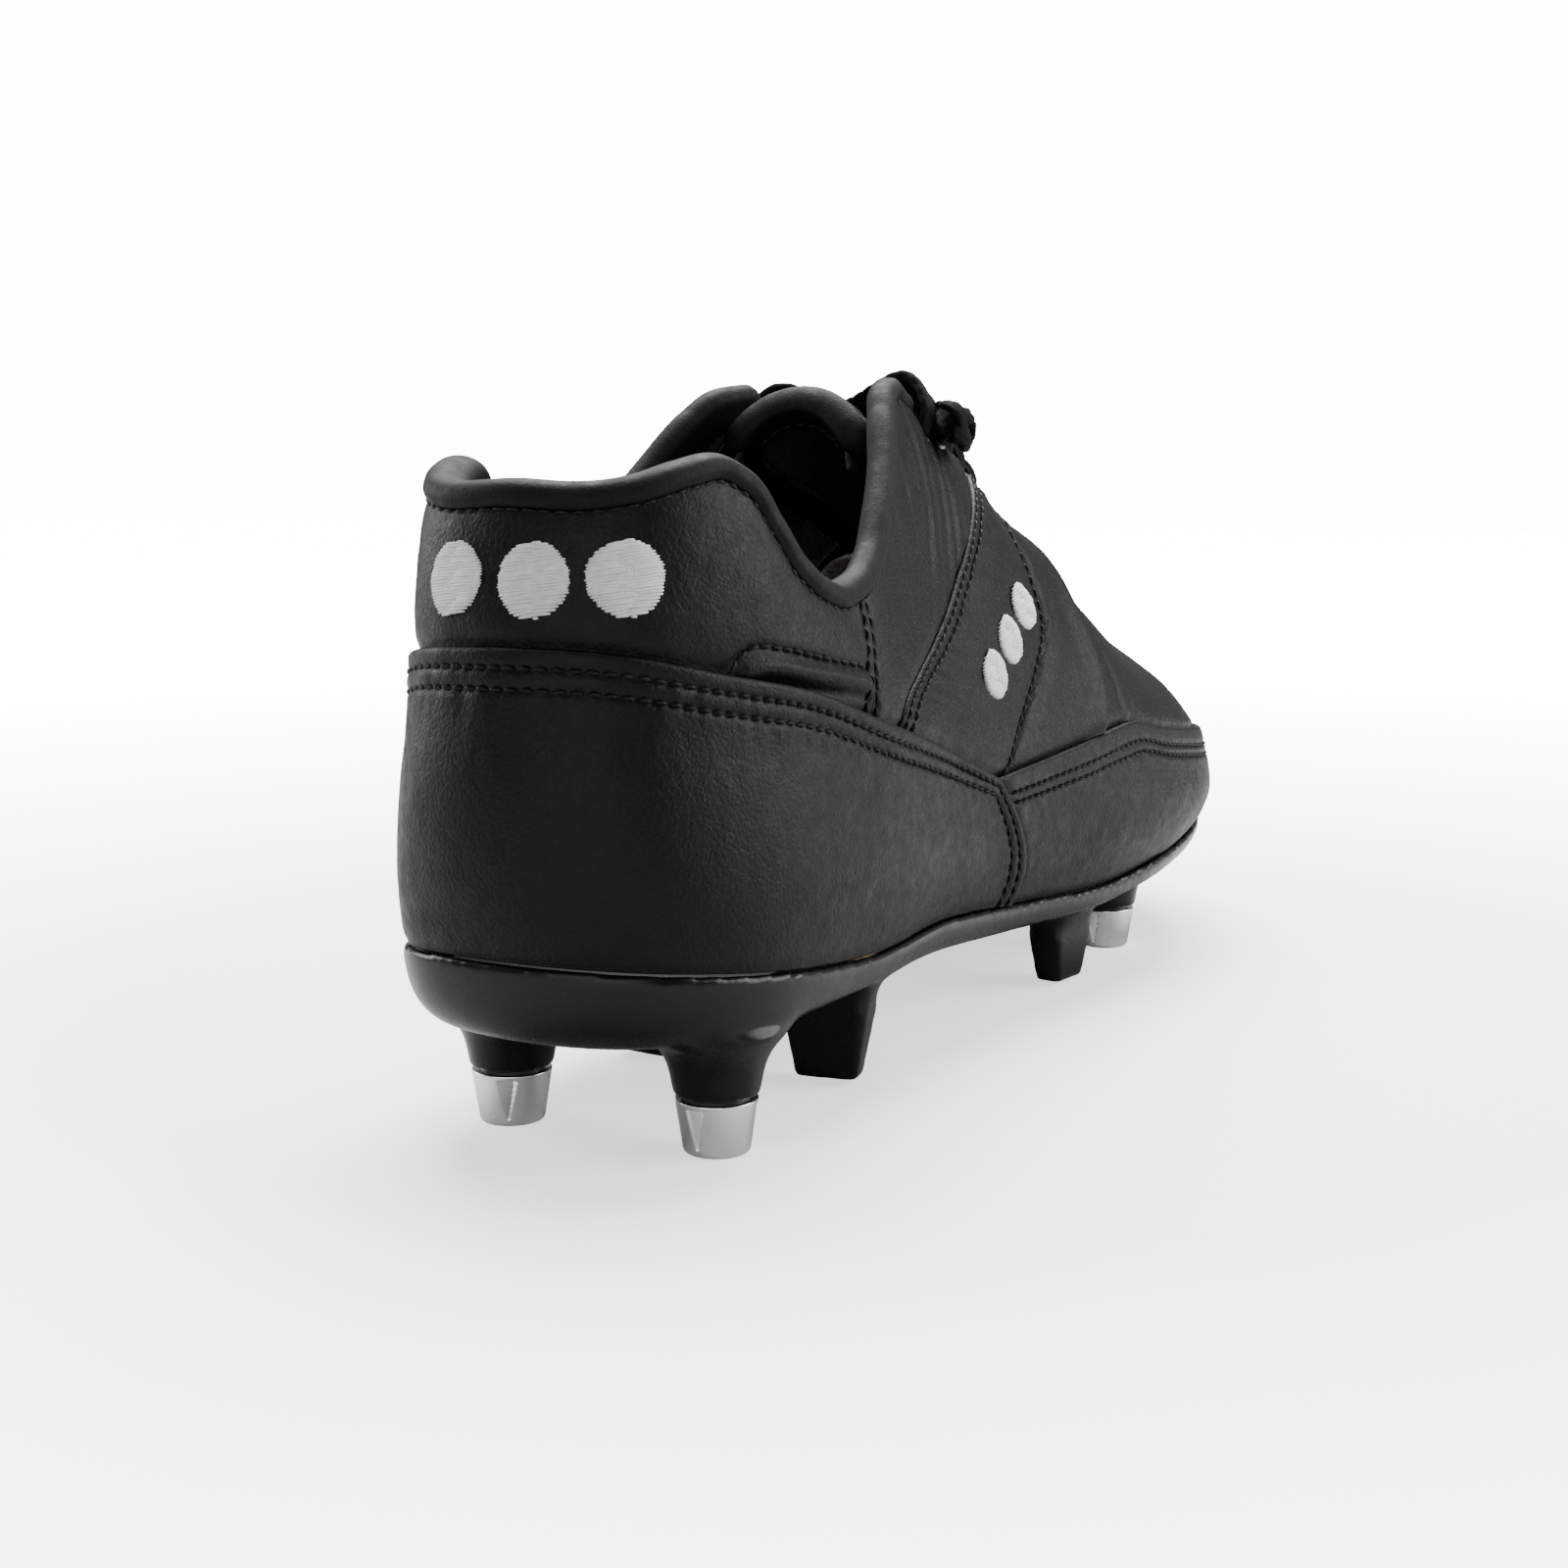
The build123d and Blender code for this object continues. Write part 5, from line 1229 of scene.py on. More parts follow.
def lace_strand(lateral_row, medial_row, lift):
    places = []
    for side, row, toward in ((1, lateral_row, medial_row), (-1, medial_row, lateral_row)):
        edge_way = 0.12 if row > 0 else TOP_EDGE_WAY
        places.append((facing_place(row, toward, side, 0.0, EYELET_RISE, LACE_CLEARANCE + lift * 0.4),
                       facing_place(row, toward, side, edge_way, EDGE_RISE, EDGE_CLEARANCE + lift * 0.5)))
    (start, first_edge), (end, last_edge) = places
    middle_y = (first_edge[0][1] + last_edge[0][1]) / 2
    apex = np.array(TONGUE_APEX, float)
    height = smooth(apex[:, 0], apex[:, 1], middle_y)[0, 0]
    middle = np.array([(first_edge[0][0] + last_edge[0][0]) / 2, middle_y, height + LACE_OVER_TONGUE + lift * 0.6])
    tongue_up = np.array([0.0, math.sin(TONGUE_SLOPE), math.cos(TONGUE_SLOPE)])
    knots = [0, 0.17, 0.5, 0.83, 1]
    t = np.linspace(0, 1, 60)
    centre = smooth(knots, [start[0], first_edge[0], middle, last_edge[0], end[0]], t)
    normal = unit(smooth(knots, [start[1], first_edge[1], tongue_up, last_edge[1], end[1]], t))
    return braided(centre, normal, LACE_WIDTH, LACE_THICKNESS, (1.7 + lift * 0.4, 1.7 + lift * 0.4))


def lace_knot():
    """The tight knot beside the top lateral eyelet, where the lace's ends are tied off and tucked in."""
    centre, outward = facing_place(0, 1, 1, 0.8, 0.885, 3.6)
    down = unit(last_at_depth(np.array([0.244]), np.array([0.80]), np.array([0.0]))[0]
                - last_at_depth(np.array([0.244]), np.array([0.88]), np.array([0.0]))[0])
    on = unit(np.cross(down, outward))
    parts = []
    t = np.linspace(0, 2 * np.pi * 0.93, 50)
    for tilt, size, lift in ((0.5, 4.4, 0.4), (-0.7, 4.0, 1.3)):
        first = on * math.cos(tilt) + down * math.sin(tilt)
        second = unit(np.cross(outward, first))
        ring = (centre + outward * lift + first * (size * np.cos(t))[:, None]
                + second * (0.52 * size * np.sin(t))[:, None] + outward * (1.1 * np.sin(2 * t))[:, None])
        facing = unit(outward + 0.5 * (first * np.cos(t)[:, None] + second * np.sin(t)[:, None]))
        parts.append(braided(ring, facing, 3.6, 1.6))
    wrap = (centre + outward * (1.0 + 2.4 * np.cos(t))[:, None] + on * (2.5 * np.sin(t))[:, None]
            + down * (0.8 * t / 6)[:, None])
    facing = unit(outward * np.cos(t)[:, None] + on * np.sin(t)[:, None])
    parts.append(braided(wrap, facing, 3.4, 1.5))
    return join(parts)


def laces():
    parts = []
    for row in range(len(LACE_SHARES) - 1, 0, -1):
        parts.append(lace_strand(row, row - 1, 0.0))
        parts.append(lace_strand(row - 1, row, LACE_THICKNESS + LACE_GAP))
    parts.append(lace_knot())
    return join(parts)


# ---- plate with its bosses and blades ----
PLATE_THICKNESS = 2.6
PLATE_WALL = 2.4
PLATE_LIP = 0.6
STUD_TOP_RADIUS = 6.4
STUD_FOOT_RADIUS = 5.1
STUD_HEIGHT = 9.0
WASHER_THICKNESS = 0.5
PIN_RADIUS = 2.5
PIN_LENGTH = 8.0
PIN_IN_STUD = 6.0
BOSS_FLARE = 4.4
STUDS = {
    "heel_lateral": (18.5, 27.0),
    "heel_medial": (-18.5, 27.0),
    "ball_lateral": (25.5, 193.0),
    "ball_medial": (-28.0, 193.0),
    "toe_lateral": (9.0, 238.0),
    "toe_medial": (-20.0, 236.0),
}
BLADES = {
    "heel_lateral": (17.5, 69.0, 8.0, 15.0, 7.0),
    "heel_medial": (-17.5, 69.0, -8.0, 15.0, 7.0),
    "waist_lateral": (28.5, 155.0, 80.0, 14.0, 7.5),
    "waist_medial": (-27.0, 155.0, -80.0, 14.0, 7.5),
}
BLADE_FOOT_Z = 0.8
UNDERSIDE_Z = [
    (-3, 18.5), (50, 18.5), (88, 18.4), (120, 16.6), (152, 15.8), (182, 18.2), (211, 20.6),
    (238, 23.2), (257, 25.2), (271, 26.4),
]
BOWL_REACH = [(0, 9.5), (60, 8.0), (110, 6.0), (200, 6.0), (267, 5.5)]   # (y, how far in the side curves under)
BOWL_FULLNESS = 2.5


def underside_z(y):
    table = np.array(UNDERSIDE_Z, float)
    return smooth(table[:, 0], table[:, 1], np.clip(y, table[0, 0], table[-1, 0]))[:, 0]


def plate_cup():
    """The plate's cup as a closed grid: under the middle, round the outside, over the lip and in again."""
    shares = np.linspace(0, 1, 721)[:-1]
    rim = feather(shares)
    along = unit(feather(shares + 1e-3) - feather(shares - 1e-3))
    inward = np.stack([-along[:, 1], along[:, 0]], 1)
    top = rim_z(rim[:, 1]) - 0.1
    reach = np.interp(rim[:, 1], *zip(*BOWL_REACH))
    spine_line = np.stack([np.interp(rim[:, 1], [0, 120, 267], [-1.0, 0.0, -4.0]), np.clip(rim[:, 1], 26, 240)], 1)
    rows = []

    def add(inset, height=None, drop=None, lift=0.0):
        place = rim + inward * np.reshape(inset, (-1, 1))
        low = underside_z(place[:, 1])
        z = height if height is not None else top - drop * (top - low) + lift
        rows.append(np.column_stack([place, z]))

    edge = rim + inward * (reach - PLATE_LIP)[:, None]
    for t in np.linspace(0, 1, 24)[:-1]:
        place = spine_line * (1 - t) + edge * t
        rows.append(np.column_stack([place, underside_z(place[:, 1])]))
    for angle in np.linspace(np.pi / 2, 0, 22):
        across = 1 - math.cos(angle) ** 0.0001 if angle == 0 else 1 - max(math.cos(angle), 0) ** (2 / BOWL_FULLNESS)
        down = math.sin(angle) ** (2 / BOWL_FULLNESS)
        add(-PLATE_LIP + reach * across, drop=down)
    for angle in np.linspace(0, np.pi, 9)[1:]:
        add(-PLATE_LIP + 1.1 * (1 - math.cos(angle)) / 2, height=top + 0.35 * math.sin(angle))
    for t in np.linspace(0, 1, 8)[1:]:
        add(0.5 + (PLATE_WALL - 0.5) * t, height=top - 0.4 * t)
    floor = underside_z(rim[:, 1]) + PLATE_THICKNESS
    for t in np.linspace(0, 1, 12)[1:]:
        add(PLATE_WALL + 2.2 * t**3, height=(top - 0.4) * (1 - t) + floor * t)
    inner = rim + inward * (PLATE_WALL + 2.2)
    for t in np.linspace(0, 1, 24)[1:]:
        place = inner * (1 - t) + spine_line * t
        rows.append(np.column_stack([place, underside_z(place[:, 1]) + PLATE_THICKNESS]))
    grid = np.stack(rows, 0)
    return grid.reshape(-1, 3), grid_quads(len(rows), len(shares), closed=True)[:, ::-1]


def lathe(profile, x, y, sides=96):
    """A closed turned shape from (radius, z) points, first and last near the axis."""
    angles = np.linspace(0, 2 * np.pi, sides, endpoint=False)
    profile = np.array(profile, float)
    radius = profile[:, :1]
    grid = np.stack([x + radius * np.cos(angles), y + radius * np.sin(angles),
                     np.broadcast_to(profile[:, 1:], (len(profile), sides))], -1)
    quads = grid_quads(len(profile), sides, closed=True)[:, ::-1]
    caps = []
    for ring, turn in ((0, -1), ((len(profile) - 1) * sides, 1)):
        for k in range(1, sides // 2):
            caps.append((ring + np.array([0, 2 * k - 1, 2 * k, 2 * k + 1]))[::turn])
    return grid.reshape(-1, 3), np.concatenate([quads, caps])


def boss_shape(x, y):
    """A post that flares into the plate, with a small rounded edge round the stud."""
    top = float(underside_z(np.array([y]))[0]) + 1.4
    low = STUD_HEIGHT
    profile = [(0.4, low), (STUD_TOP_RADIUS - 0.2, low), (STUD_TOP_RADIUS + 0.15, low + 0.12),
               (STUD_TOP_RADIUS + 0.3, low + 0.45)]
    for t in np.linspace(0, 1, 14)[1:]:
        profile.append((STUD_TOP_RADIUS + 0.3 + 1.5 * t + BOSS_FLARE * t**3.2, low + 0.45 + (top - low - 0.45) * t))
    profile.append((0.4, top + 0.4))
    return lathe(profile, x, y)


def blade_shape(x, y, turn, length, width):
    """A tapered moulded blade with flat faces and small rounded corners."""
    top = float(underside_z(np.array([y]))[0]) + 1.6
    turn = math.radians(turn)
    angles = np.linspace(0, 2 * np.pi, 64, endpoint=False)
    square = 0.16
    corner_x = np.sign(np.cos(angles)) * np.abs(np.cos(angles)) ** square
    corner_y = np.sign(np.sin(angles)) * np.abs(np.sin(angles)) ** square
    rings = []
    for t in np.concatenate([[0], np.linspace(0.03, 1, 16)]):
        size = 0.72 + 0.48 * t + 0.55 * max(t - 0.72, 0) ** 1.5
        if t == 0:
            size = 0.68
        a = corner_x * length / 2 * size
        b = corner_y * width / 2 * (size + 0.35 * max(t - 0.72, 0))
        rings.append(np.stack([x + a * math.cos(turn) - b * math.sin(turn),
                               y + a * math.sin(turn) + b * math.cos(turn),
                               np.full(len(angles), BLADE_FOOT_Z + (top - BLADE_FOOT_Z) * t)], 1))
    grid = np.array(rings)
    quads = grid_quads(len(rings), len(angles), closed=True)[:, ::-1]
    caps = []
    for ring, way in ((0, -1), ((len(rings) - 1) * 64, 1)):
        for k in range(1, 32):
            caps.append((ring + np.array([0, 2 * k - 1, 2 * k, 2 * k + 1]))[::way])
    return grid.reshape(-1, 3), np.concatenate([quads, caps])


def soleplate(material):
    """Cup, bosses and blades grown into one moulding, with soft fillets where they meet."""
    parts = [plate_cup()]
    parts += [boss_shape(x, y) for x, y in STUDS.values()]
    parts += [blade_shape(*place) for place in BLADES.values()]
    plate = piece("soleplate_moulding", join(parts), material, replaced=["soleplate"])
    remesh = plate.modifiers.new("one_moulding", "REMESH")
    remesh.mode = "VOXEL"
    remesh.voxel_size = 0.00055
    apply_modifiers(plate)
    soften_joints(plate.data)
    thin = plate.modifiers.new("thin", "DECIMATE")
    thin.ratio = 0.5
    apply_modifiers(plate)
    plate.data.shade_smooth()
    return plate


def apply_modifiers(obj):
    graph = bpy.context.evaluated_depsgraph_get()
    mesh = bpy.data.meshes.new_from_object(obj.evaluated_get(graph), depsgraph=graph)
    obj.modifiers.clear()
    obj.data = mesh


def soften_joints(mesh, rounds=75):
    """Evens out the mesh, most where bosses and blades leave the plate and least at the blades' and posts' feet."""
    count = len(mesh.vertices)
    points = np.empty(count * 3, np.float32)
    mesh.vertices.foreach_get("co", points)
    points = points.reshape(-1, 3).astype(float)
    edges = np.empty(len(mesh.edges) * 2, np.int32)
    mesh.edges.foreach_get("vertices", edges)
    a, b = edges.reshape(-1, 2).T
    degree = np.bincount(a, minlength=count) + np.bincount(b, minlength=count)
    y = points[:, 1] * 1000 + MIDDLE_Y
    z = points[:, 2] * 1000
    under = underside_z(y)
    rim = rim_z(y)
    low = step(z, under - 6.0, under - 2.0)
    high = 1 - step(z, rim - 3.5, rim - 1.5)
    weight = 0.03 + 0.97 * low * high
    weight = np.where(z > rim - 3.5, np.maximum(weight, 0.09), weight)
    for number in range(rounds):
        total = np.zeros_like(points)
        for k in range(3):
            total[:, k] = np.bincount(a, points[b, k], count) + np.bincount(b, points[a, k], count)
        mean = total / degree[:, None]
        share = weight if number >= 3 else np.maximum(weight, 0.5)
        points += (mean - points) * 0.6 * share[:, None]
    mesh.vertices.foreach_set("co", points.astype(np.float32).ravel())
    mesh.update()


# ---- studs and pins ----
NOTCHES = (25.0, 145.0, 265.0)      # degrees round the stud
NOTCH_LOW = 1.3
NOTCH_HIGH = 7.6
NOTCH_TURNS = {"heel_medial": 31.0}     # how far each stud's notches stand from the usual place


def stud_shape(x, y, turned=0.0):
    """An aluminium tip: a turned cone with a rounded foot and three tapered spanner notches."""
    sides = 216
    top = STUD_HEIGHT - WASHER_THICKNESS
    angles = np.linspace(0, 2 * np.pi, sides, endpoint=False)
    heights = np.concatenate([np.linspace(0, 0.7, 7), np.linspace(0.8, 8.2, 64), [8.3, 8.4, top]])
    radius = STUD_FOOT_RADIUS + (STUD_TOP_RADIUS - STUD_FOOT_RADIUS) * heights / top
    radius -= 0.75 * (1 - np.sqrt(1 - np.clip(1 - heights / 0.7, 0, 1) ** 2))
    radius[-1] -= 0.12
    depth = np.zeros((len(heights), sides))
    t = np.clip((heights - NOTCH_LOW) / (NOTCH_HIGH - NOTCH_LOW), 0, 1)
    open_here = (heights > NOTCH_LOW) * (1 - step(heights, NOTCH_HIGH, NOTCH_HIGH + 0.25))
    for turn in NOTCHES:
        away = (angles - math.radians(turn + turned) + np.pi) % (2 * np.pi) - np.pi
        across = np.abs(away)[None] * radius[:, None]
        half = (0.2 + 1.35 * t)[:, None]
        cut_here = 1 - step(across, half - 0.18, half + 0.06)
        slope = (0.5 + 0.8 * t)[:, None] * (0.6 + 0.4 * np.sign(away)[None] * across / np.maximum(half, 0.2))
        depth = np.maximum(depth, cut_here * slope * open_here[:, None])
    body = radius[:, None] - depth
    foot = [(0.3, 0.0), (2.0, 0.0), (STUD_FOOT_RADIUS - 0.9, 0.0)]
    rings = [np.full(sides, r) for r, _ in foot] + list(body) + [np.full(sides, PIN_RADIUS + 0.02)]
    levels = [z for _, z in foot] + list(heights) + [top]
    rings += [np.full(sides, PIN_RADIUS + 0.02), np.full(sides, 0.3)]
    levels += [top - PIN_IN_STUD, top - PIN_IN_STUD]
    grid = np.array([np.stack([x + r * np.cos(angles), y + r * np.sin(angles), np.full(sides, z)], 1)
                     for r, z in zip(rings, levels)])
    quads = grid_quads(len(levels), sides, closed=True)[:, ::-1]
    caps = []
    for ring, way in ((0, -1), ((len(levels) - 1) * sides, 1)):
        for k in range(1, sides // 2):
            caps.append((ring + np.array([0, 2 * k - 1, 2 * k, 2 * k + 1]))[::way])
    return grid.reshape(-1, 3), np.concatenate([quads, caps])


THREAD_PITCH = 0.8


def pin_shape(x, y):
    """The stud's steel pin: a plain shank in the stud and a rolled M5 thread above it."""
    start = STUD_HEIGHT - WASHER_THICKNESS - PIN_IN_STUD
    plain = start + PIN_IN_STUD
    end = plain + WASHER_THICKNESS + PIN_LENGTH
    sides = 48
    angles = np.linspace(0, 2 * np.pi, sides, endpoint=False)
    levels = np.concatenate([np.linspace(start, plain, 6), np.arange(plain + 0.1, end - 0.3, 0.1), [end - 0.3, end]])
    turn = (levels[:, None] - plain) / THREAD_PITCH - angles[None] / (2 * np.pi)
    ridge = np.abs((turn % 1) - 0.5) * 2
    cut_in = step(levels, plain + 0.2, plain + 0.8)[:, None] * (1 - step(levels, end - 0.6, end - 0.3))[:, None]
    radius = PIN_RADIUS - 0.02 - 0.42 * ridge * cut_in
    radius[-1] -= 0.45
    grid = np.stack([x + radius * np.cos(angles), y + radius * np.sin(angles),
                     np.broadcast_to(levels[:, None], radius.shape)], -1)
    quads = grid_quads(len(levels), sides, closed=True)[:, ::-1]
    caps = []
    for ring, way in ((0, -1), ((len(levels) - 1) * sides, 1)):
        for k in range(1, sides // 2):
            caps.append((ring + np.array([0, 2 * k - 1, 2 * k, 2 * k + 1]))[::way])
    return grid.reshape(-1, 3), np.concatenate([quads, caps])


# ---- materials ----
class Nodes:
    """A short way to write a node material."""

    def __init__(self, name):
        self.material = bpy.data.materials.new(name)
        self.material.use_nodes = True
        self.tree = self.material.node_tree
        self.shader = self.tree.nodes["Principled BSDF"]
        self.place = self.add("ShaderNodeTexCoord").outputs["Object"]

    def add(self, kind, settings=None, **inputs):
        node = self.tree.nodes.new(kind)
        for key, value in (settings or {}).items():
            setattr(node, key, value)
        for key, value in inputs.items():
            self.set(node.inputs[key.replace("_", " ")], value)
        return node

    def set(self, socket, value):
        if isinstance(value, bpy.types.NodeSocket):
            self.tree.links.new(value, socket)
        else:
            socket.default_value = value

    def finish(self, **inputs):
        for key, value in inputs.items():
            self.set(self.shader.inputs[key.replace("_", " ")], value)
        return self.material

    def noise(self, scale, detail=3.0, rough=0.5, place=None):
        return self.add("ShaderNodeTexNoise", Vector=place or self.place, Scale=scale, Detail=detail,
                        Roughness=rough).outputs["Fac"]

    def cells(self, scale, feature="F1", place=None):
        return self.add("ShaderNodeTexVoronoi", {"feature": feature}, Vector=place or self.place,
                        Scale=scale).outputs["Distance"]

    def stretched(self, scale):
        return self.add("ShaderNodeMapping", Vector=self.place, Scale=scale).outputs["Vector"]

    def ramp(self, value, low, high, low_value, high_value):
        return self.add("ShaderNodeMapRange", Value=value, From_Min=low, From_Max=high, To_Min=low_value,
                        To_Max=high_value).outputs["Result"]

    def mix(self, value, first, second):
        node = self.add("ShaderNodeMix", {"data_type": "RGBA"})
        self.set(node.inputs["Factor"], value)
        self.set(node.inputs[6], first)
        self.set(node.inputs[7], second)
        return node.outputs[2]

    def bump(self, height, distance, strength=1.0, normal=None):
        node = self.add("ShaderNodeBump", Strength=strength, Distance=distance, Height=height)
        if normal is not None:
            self.set(node.inputs["Normal"], normal)
        return node.outputs["Normal"]


def grey(value, warm=0.0):
    return (value * (1 + warm), value, value * (1 - warm), 1)


def leather(name, base, rough, grain=1150.0, depth=0.00007):
    m = Nodes(name)
    blotch = m.noise(55.0, 4.0)
    pores = m.cells(grain, "F1")
    creases = m.cells(grain * 0.55, "DISTANCE_TO_EDGE")
    fine = m.noise(3800.0, 2.0)
    colour = m.mix(blotch, grey(base * 0.8), grey(base * 1.3))
    normal = m.bump(pores, depth, 0.9)
    normal = m.bump(m.ramp(creases, 0.0, 0.12, 0.0, 1.0), depth * 0.6, 0.7, normal)
    normal = m.bump(fine, 0.00002, 0.5, normal)
    normal = m.bump(m.noise(260.0, 3.0), 0.00022, 0.35, normal)
    return m.finish(Base_Color=colour, Roughness=m.ramp(m.noise(420.0), 0.3, 0.7, rough - 0.06, rough + 0.07),
                    Normal=normal, Specular_IOR_Level=0.12)


def moulded(name, base, rough):
    m = Nodes(name)
    colour = m.mix(m.noise(30.0), grey(base * 0.85), grey(base * 1.2))
    normal = m.bump(m.noise(900.0, 4.0), 0.00003, 0.5)
    normal = m.bump(m.noise(90.0, 2.0), 0.0002, 0.15, normal)
    return m.finish(Base_Color=colour, Roughness=m.ramp(m.noise(160.0), 0.3, 0.7, rough - 0.04, rough + 0.08),
                    Normal=normal, Specular_IOR_Level=0.2)


def thread(name, colour, dark, rough, sheen=0.3, shine=0.15):
    m = Nodes(name)
    strands = m.noise(5200.0, 2.0)
    mixed = m.mix(m.noise(900.0), dark, colour)
    return m.finish(Base_Color=mixed, Roughness=m.ramp(strands, 0.3, 0.7, rough - 0.08, rough + 0.08),
                    Normal=m.bump(strands, 0.00005, 0.8), Sheen_Weight=sheen, Sheen_Roughness=0.4,
                    Specular_IOR_Level=shine)


def cloth(name, light, dark, scale, rough=0.9, sheen=0.4, nap=0.0003):
    m = Nodes(name)
    weave = m.cells(scale, "F1")
    colour = m.mix(m.noise(scale * 0.5), dark, light)
    normal = m.bump(weave, nap, 0.8)
    normal = m.bump(m.noise(scale * 3.0, 3.0), nap * 0.4, 0.8, normal)
    return m.finish(Base_Color=colour, Roughness=rough, Normal=normal, Sheen_Weight=sheen, Sheen_Roughness=0.7)


def metal(name, base, rough, along_z=9000.0, warm=0.0):
    m = Nodes(name)
    rings = m.noise(1.0, 3.0, 0.6, m.stretched((60.0, 60.0, along_z)))
    smears = m.noise(240.0, 3.0)
    colour = m.mix(smears, grey(base * 0.92, warm), grey(base, warm))
    return m.finish(Base_Color=colour, Metallic=1.0, Normal=m.bump(rings, 0.00002, 0.35),
                    Roughness=m.ramp(smears, 0.3, 0.7, rough - 0.05, rough + 0.07))


def foam_material(name, base):
    m = Nodes(name)
    cells = m.cells(1400.0)
    # painted shade: the foam's grey falls to half in the hollows of its cells, where the bump sinks, as shade in the
    # pores
    return m.finish(Base_Color=m.mix(cells, grey(base * 0.5, 0.05), grey(base, 0.05)), Roughness=0.95,
                    Normal=m.bump(cells, 0.0003, 1.0))


LEATHER_BLACK = leather("black_leather", 0.0016, 0.46, grain=1450.0, depth=0.00006)
LEATHER_SOFT = leather("black_binding_leather", 0.0015, 0.62, grain=1800.0, depth=0.00003)
PLASTIC = moulded("black_moulded_plastic", 0.0014, 0.26)
BLACK_THREAD = thread("black_thread", grey(0.0016), grey(0.0008), 0.55, 0.0)
WHITE_THREAD = thread("white_thread", grey(0.88), grey(0.62), 0.42)
LACE_CLOTH = thread("black_lace", grey(0.002), grey(0.001), 0.8, 0.0, 0.1)
DARK_LINING = cloth("black_brushed_lining", grey(0.004), grey(0.002), 1500.0, sheen=0.02)
PALE_LINING = cloth("pale_canvas_lining", grey(0.42, 0.06), grey(0.30, 0.06), 1700.0, sheen=0.1)
SOCK_CLOTH = cloth("black_sock_cloth", grey(0.006), grey(0.003), 1300.0, sheen=0.02)
BOARD = cloth("fibre_board", (0.42, 0.31, 0.20, 1), (0.28, 0.20, 0.12, 1), 900.0, sheen=0.0)
STIFF_BOARD = cloth("stiffener_board", grey(0.32, 0.1), grey(0.2, 0.1), 700.0, sheen=0.0)
TAPE = cloth("facing_tape", grey(0.05), grey(0.03), 1600.0, sheen=0.1)
FOAM_GREY = foam_material("grey_foam", 0.25)
ALUMINIUM = metal("turned_aluminium", 0.92, 0.22)
STEEL = metal("zinc_steel", 0.62, 0.30)
BRASS = metal("brass", 0.55, 0.32, warm=0.35)
NYLON = moulded("black_nylon", 0.02, 0.45)


# ---- the boot's pieces ----
def covers():
    everything = {
        "counter_cover": counter_cover(), "heel_collar_panel": collar_panel(), "mudguard": mudguard(), "vamp": vamp(),
    }
    for side in SIDES:
        everything[side + "_quarter"] = quarter(side)
        everything[side + "_side_band"] = side_band(side)
        everything[side + "_fore_band"] = fore_band(side)
    for node, panel in everything.items():
        cover = piece(node + "_leather", panel.solid(), LEATHER_BLACK, replaced=[node])
        if panel.rows:
            sewing = piece(node + "_stitching", panel.threads(), BLACK_THREAD)
    piece("pull_tab_stitching", tab_threads(), BLACK_THREAD)
    piece("collar_binding", collar_binding(), LEATHER_SOFT,
          replaced=["lateral_collar_binding", "medial_collar_binding"])
    piece("collar_binding_stitching", binding_threads(), BLACK_THREAD)


def inside():
    foam = piece("collar_padding", collar_foam(), FOAM_GREY, replaced=["collar_foam"])
    piece("heel_lining_cloth", heel_lining(), DARK_LINING, replaced=["heel_lining"])
    for side in SIDES:
        piece(side + "_lining_cloth", side_lining(side), DARK_LINING, replaced=[side + "_lining"])
    piece("mudguard_lining_cloth", toe_linings(), PALE_LINING, replaced=["mudguard_lining"])
    piece("vamp_lining_cloth", vamp_lining(), PALE_LINING, replaced=["vamp_lining"])


def trims():
    piece("heel_embroidery_stitching", embroidery(HEEL_DISCS, HEEL_DISC_RADIUS, 0.12, 0.42), WHITE_THREAD,
          replaced=["heel_embroidery"])
    for side in SIDES:
        piece(side + "_embroidery_stitching", embroidery(SIDE_DISCS, SIDE_DISC_RADIUS, 0.5, 0.75, side), WHITE_THREAD,
              replaced=[side + "_embroidery"])


def tongue():
    cover, foam, lining = tongue_parts()
    rim, line = tongue_rim()
    piece("tongue_leather", cover, LEATHER_BLACK, replaced=["tongue_cover"])
    pad = piece("tongue_padding", foam, FOAM_GREY, replaced=["tongue_foam"])
    piece("tongue_lining_cloth", lining, DARK_LINING, replaced=["tongue_lining"])
    piece("tongue_rim", rim, LEATHER_SOFT, replaced=["tongue_binding"])
    piece("tongue_rim_stitching", tongue_threads(line), BLACK_THREAD)
    piece("lace_braid", laces(), LACE_CLOTH, replaced=["lace"])


def studs():
    for name, (x, y) in STUDS.items():
        screw = name + "_screw_stud"
        piece(name + "_stud_tip", stud_shape(x, y, NOTCH_TURNS.get(name, 0.0)), ALUMINIUM, screw, [name + "_stud"])
        piece(name + "_threaded_pin", pin_shape(x, y), STEEL, screw, [name + "_stud_pin"])


CARRIED_OVER = {
    "insole_board": BOARD, "sockliner": SOCK_CLOTH, "stud_inserts": BRASS, "heel_counter_stiffener": STIFF_BOARD,
    "toe_puff": STIFF_BOARD, "lateral_facing_tape": TAPE, "medial_facing_tape": TAPE,
}


def dress_frame():
    """Materials for the CAD nodes that stay in sight."""
    finishes = dict(CARRIED_OVER)
    finishes.update({name + "_lock_washer": NYLON for name in STUDS})
    for node, material in finishes.items():
        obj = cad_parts[node]
        obj.data.materials.clear()
        obj.data.materials.append(material)


# ---- studio ----
CAMERA_PLACE = (0.16792, -0.38109, 0.101)
CAMERA_YAW = math.radians(26.5)
CAMERA_PITCH = math.radians(8.15)


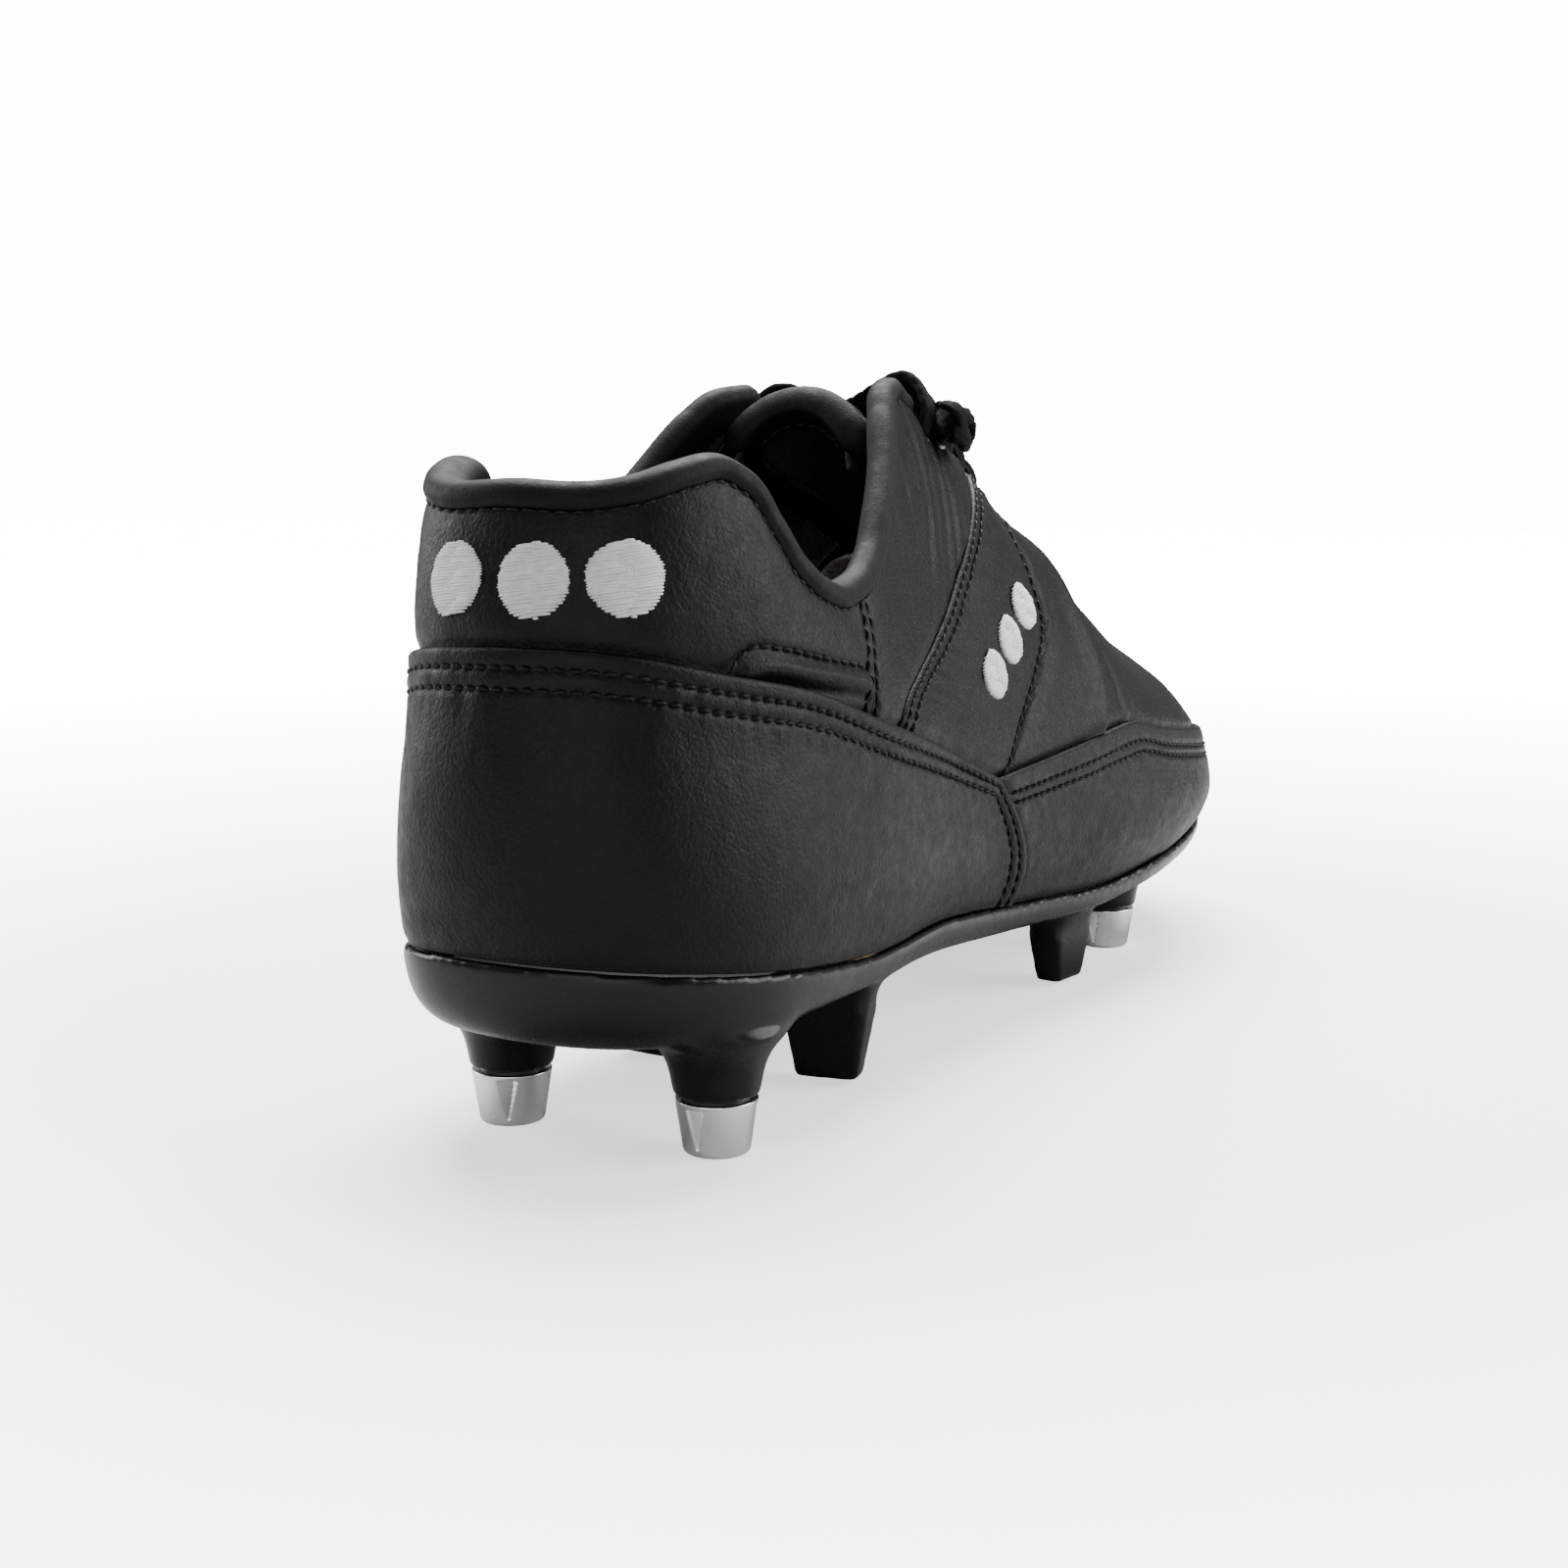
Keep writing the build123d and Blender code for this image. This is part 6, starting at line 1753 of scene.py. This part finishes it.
def by_ray(tree, seen, mirrored, lighting):
    """A strength with one value for the camera, one for reflections and one for the light it gives."""
    path = tree.nodes.new("ShaderNodeLightPath")
    diffuse = tree.nodes.new("ShaderNodeMapRange")
    tree.links.new(path.outputs["Is Diffuse Ray"], diffuse.inputs["Value"])
    diffuse.inputs["To Min"].default_value = mirrored
    diffuse.inputs["To Max"].default_value = lighting
    strength = tree.nodes.new("ShaderNodeMapRange")
    tree.links.new(path.outputs["Is Camera Ray"], strength.inputs["Value"])
    tree.links.new(diffuse.outputs["Result"], strength.inputs["To Min"])
    strength.inputs["To Max"].default_value = seen
    return strength.outputs["Result"]


def studio():
    bpy.ops.mesh.primitive_plane_add(size=8)
    floor = bpy.context.object
    floor.name = "floor"
    m = Nodes("pale_floor")
    distance = m.add("ShaderNodeVectorMath", {"operation": "LENGTH"}, Vector=m.place).outputs["Value"]
    glow = m.add("ShaderNodeMath", {"operation": "MULTIPLY"}).outputs["Value"]
    m.set(glow.node.inputs[0], by_ray(m.tree, 1.0, 0.0, 0.0))
    m.set(glow.node.inputs[1], m.ramp(distance, 0.15, 0.85, 1.1, 15.0))
    floor.data.materials.append(m.finish(Base_Color=by_ray(m.tree, 0.92, 0.5, 0.13), Roughness=0.8,
                                         Specular_IOR_Level=0.1, Emission_Color=grey(1.0), Emission_Strength=glow))
    world = bpy.data.worlds.new("studio")
    bpy.context.scene.world = world
    world.use_nodes = True
    background = world.node_tree.nodes["Background"]
    background.inputs["Color"].default_value = (1, 1, 1, 1)
    world.node_tree.links.new(by_ray(world.node_tree, 14.0, 0.3, 0.10), background.inputs["Strength"])
    for name, place, size, power in (("top_light", (-0.25, 0.50, 1.3), 1.2, 88.0),
                                     ("right_light", (1.0, 0.50, 0.5), 0.9, 21.0),
                                     ("left_light", (-1.0, -0.1, 0.4), 0.6, 8.0),
                                     ("front_light", (0.25, -1.1, 0.2), 1.2, 10.0)):
        data = bpy.data.lights.new(name, "AREA")
        data.size = size
        data.energy = power
        light = bpy.data.objects.new(name, data)
        light.location = place
        light.rotation_euler = (Vector((0, 0, 0.05)) - Vector(place)).to_track_quat("-Z", "Y").to_euler()
        bpy.context.scene.collection.objects.link(light)
    data = bpy.data.cameras.new("camera")
    data.sensor_width = 36.0
    data.lens = 48.825
    data.clip_start = 0.01
    camera = bpy.data.objects.new("camera", data)
    camera.location = CAMERA_PLACE
    look = Vector((-math.sin(CAMERA_YAW) * math.cos(CAMERA_PITCH), math.cos(CAMERA_YAW) * math.cos(CAMERA_PITCH),
                   -math.sin(CAMERA_PITCH)))
    camera.rotation_euler = look.to_track_quat("-Z", "Y").to_euler()
    bpy.context.scene.collection.objects.link(camera)
    bpy.context.scene.camera = camera


studio()
covers()
inside()
trims()
tongue()
studs()
soleplate(PLASTIC)
dress_frame()
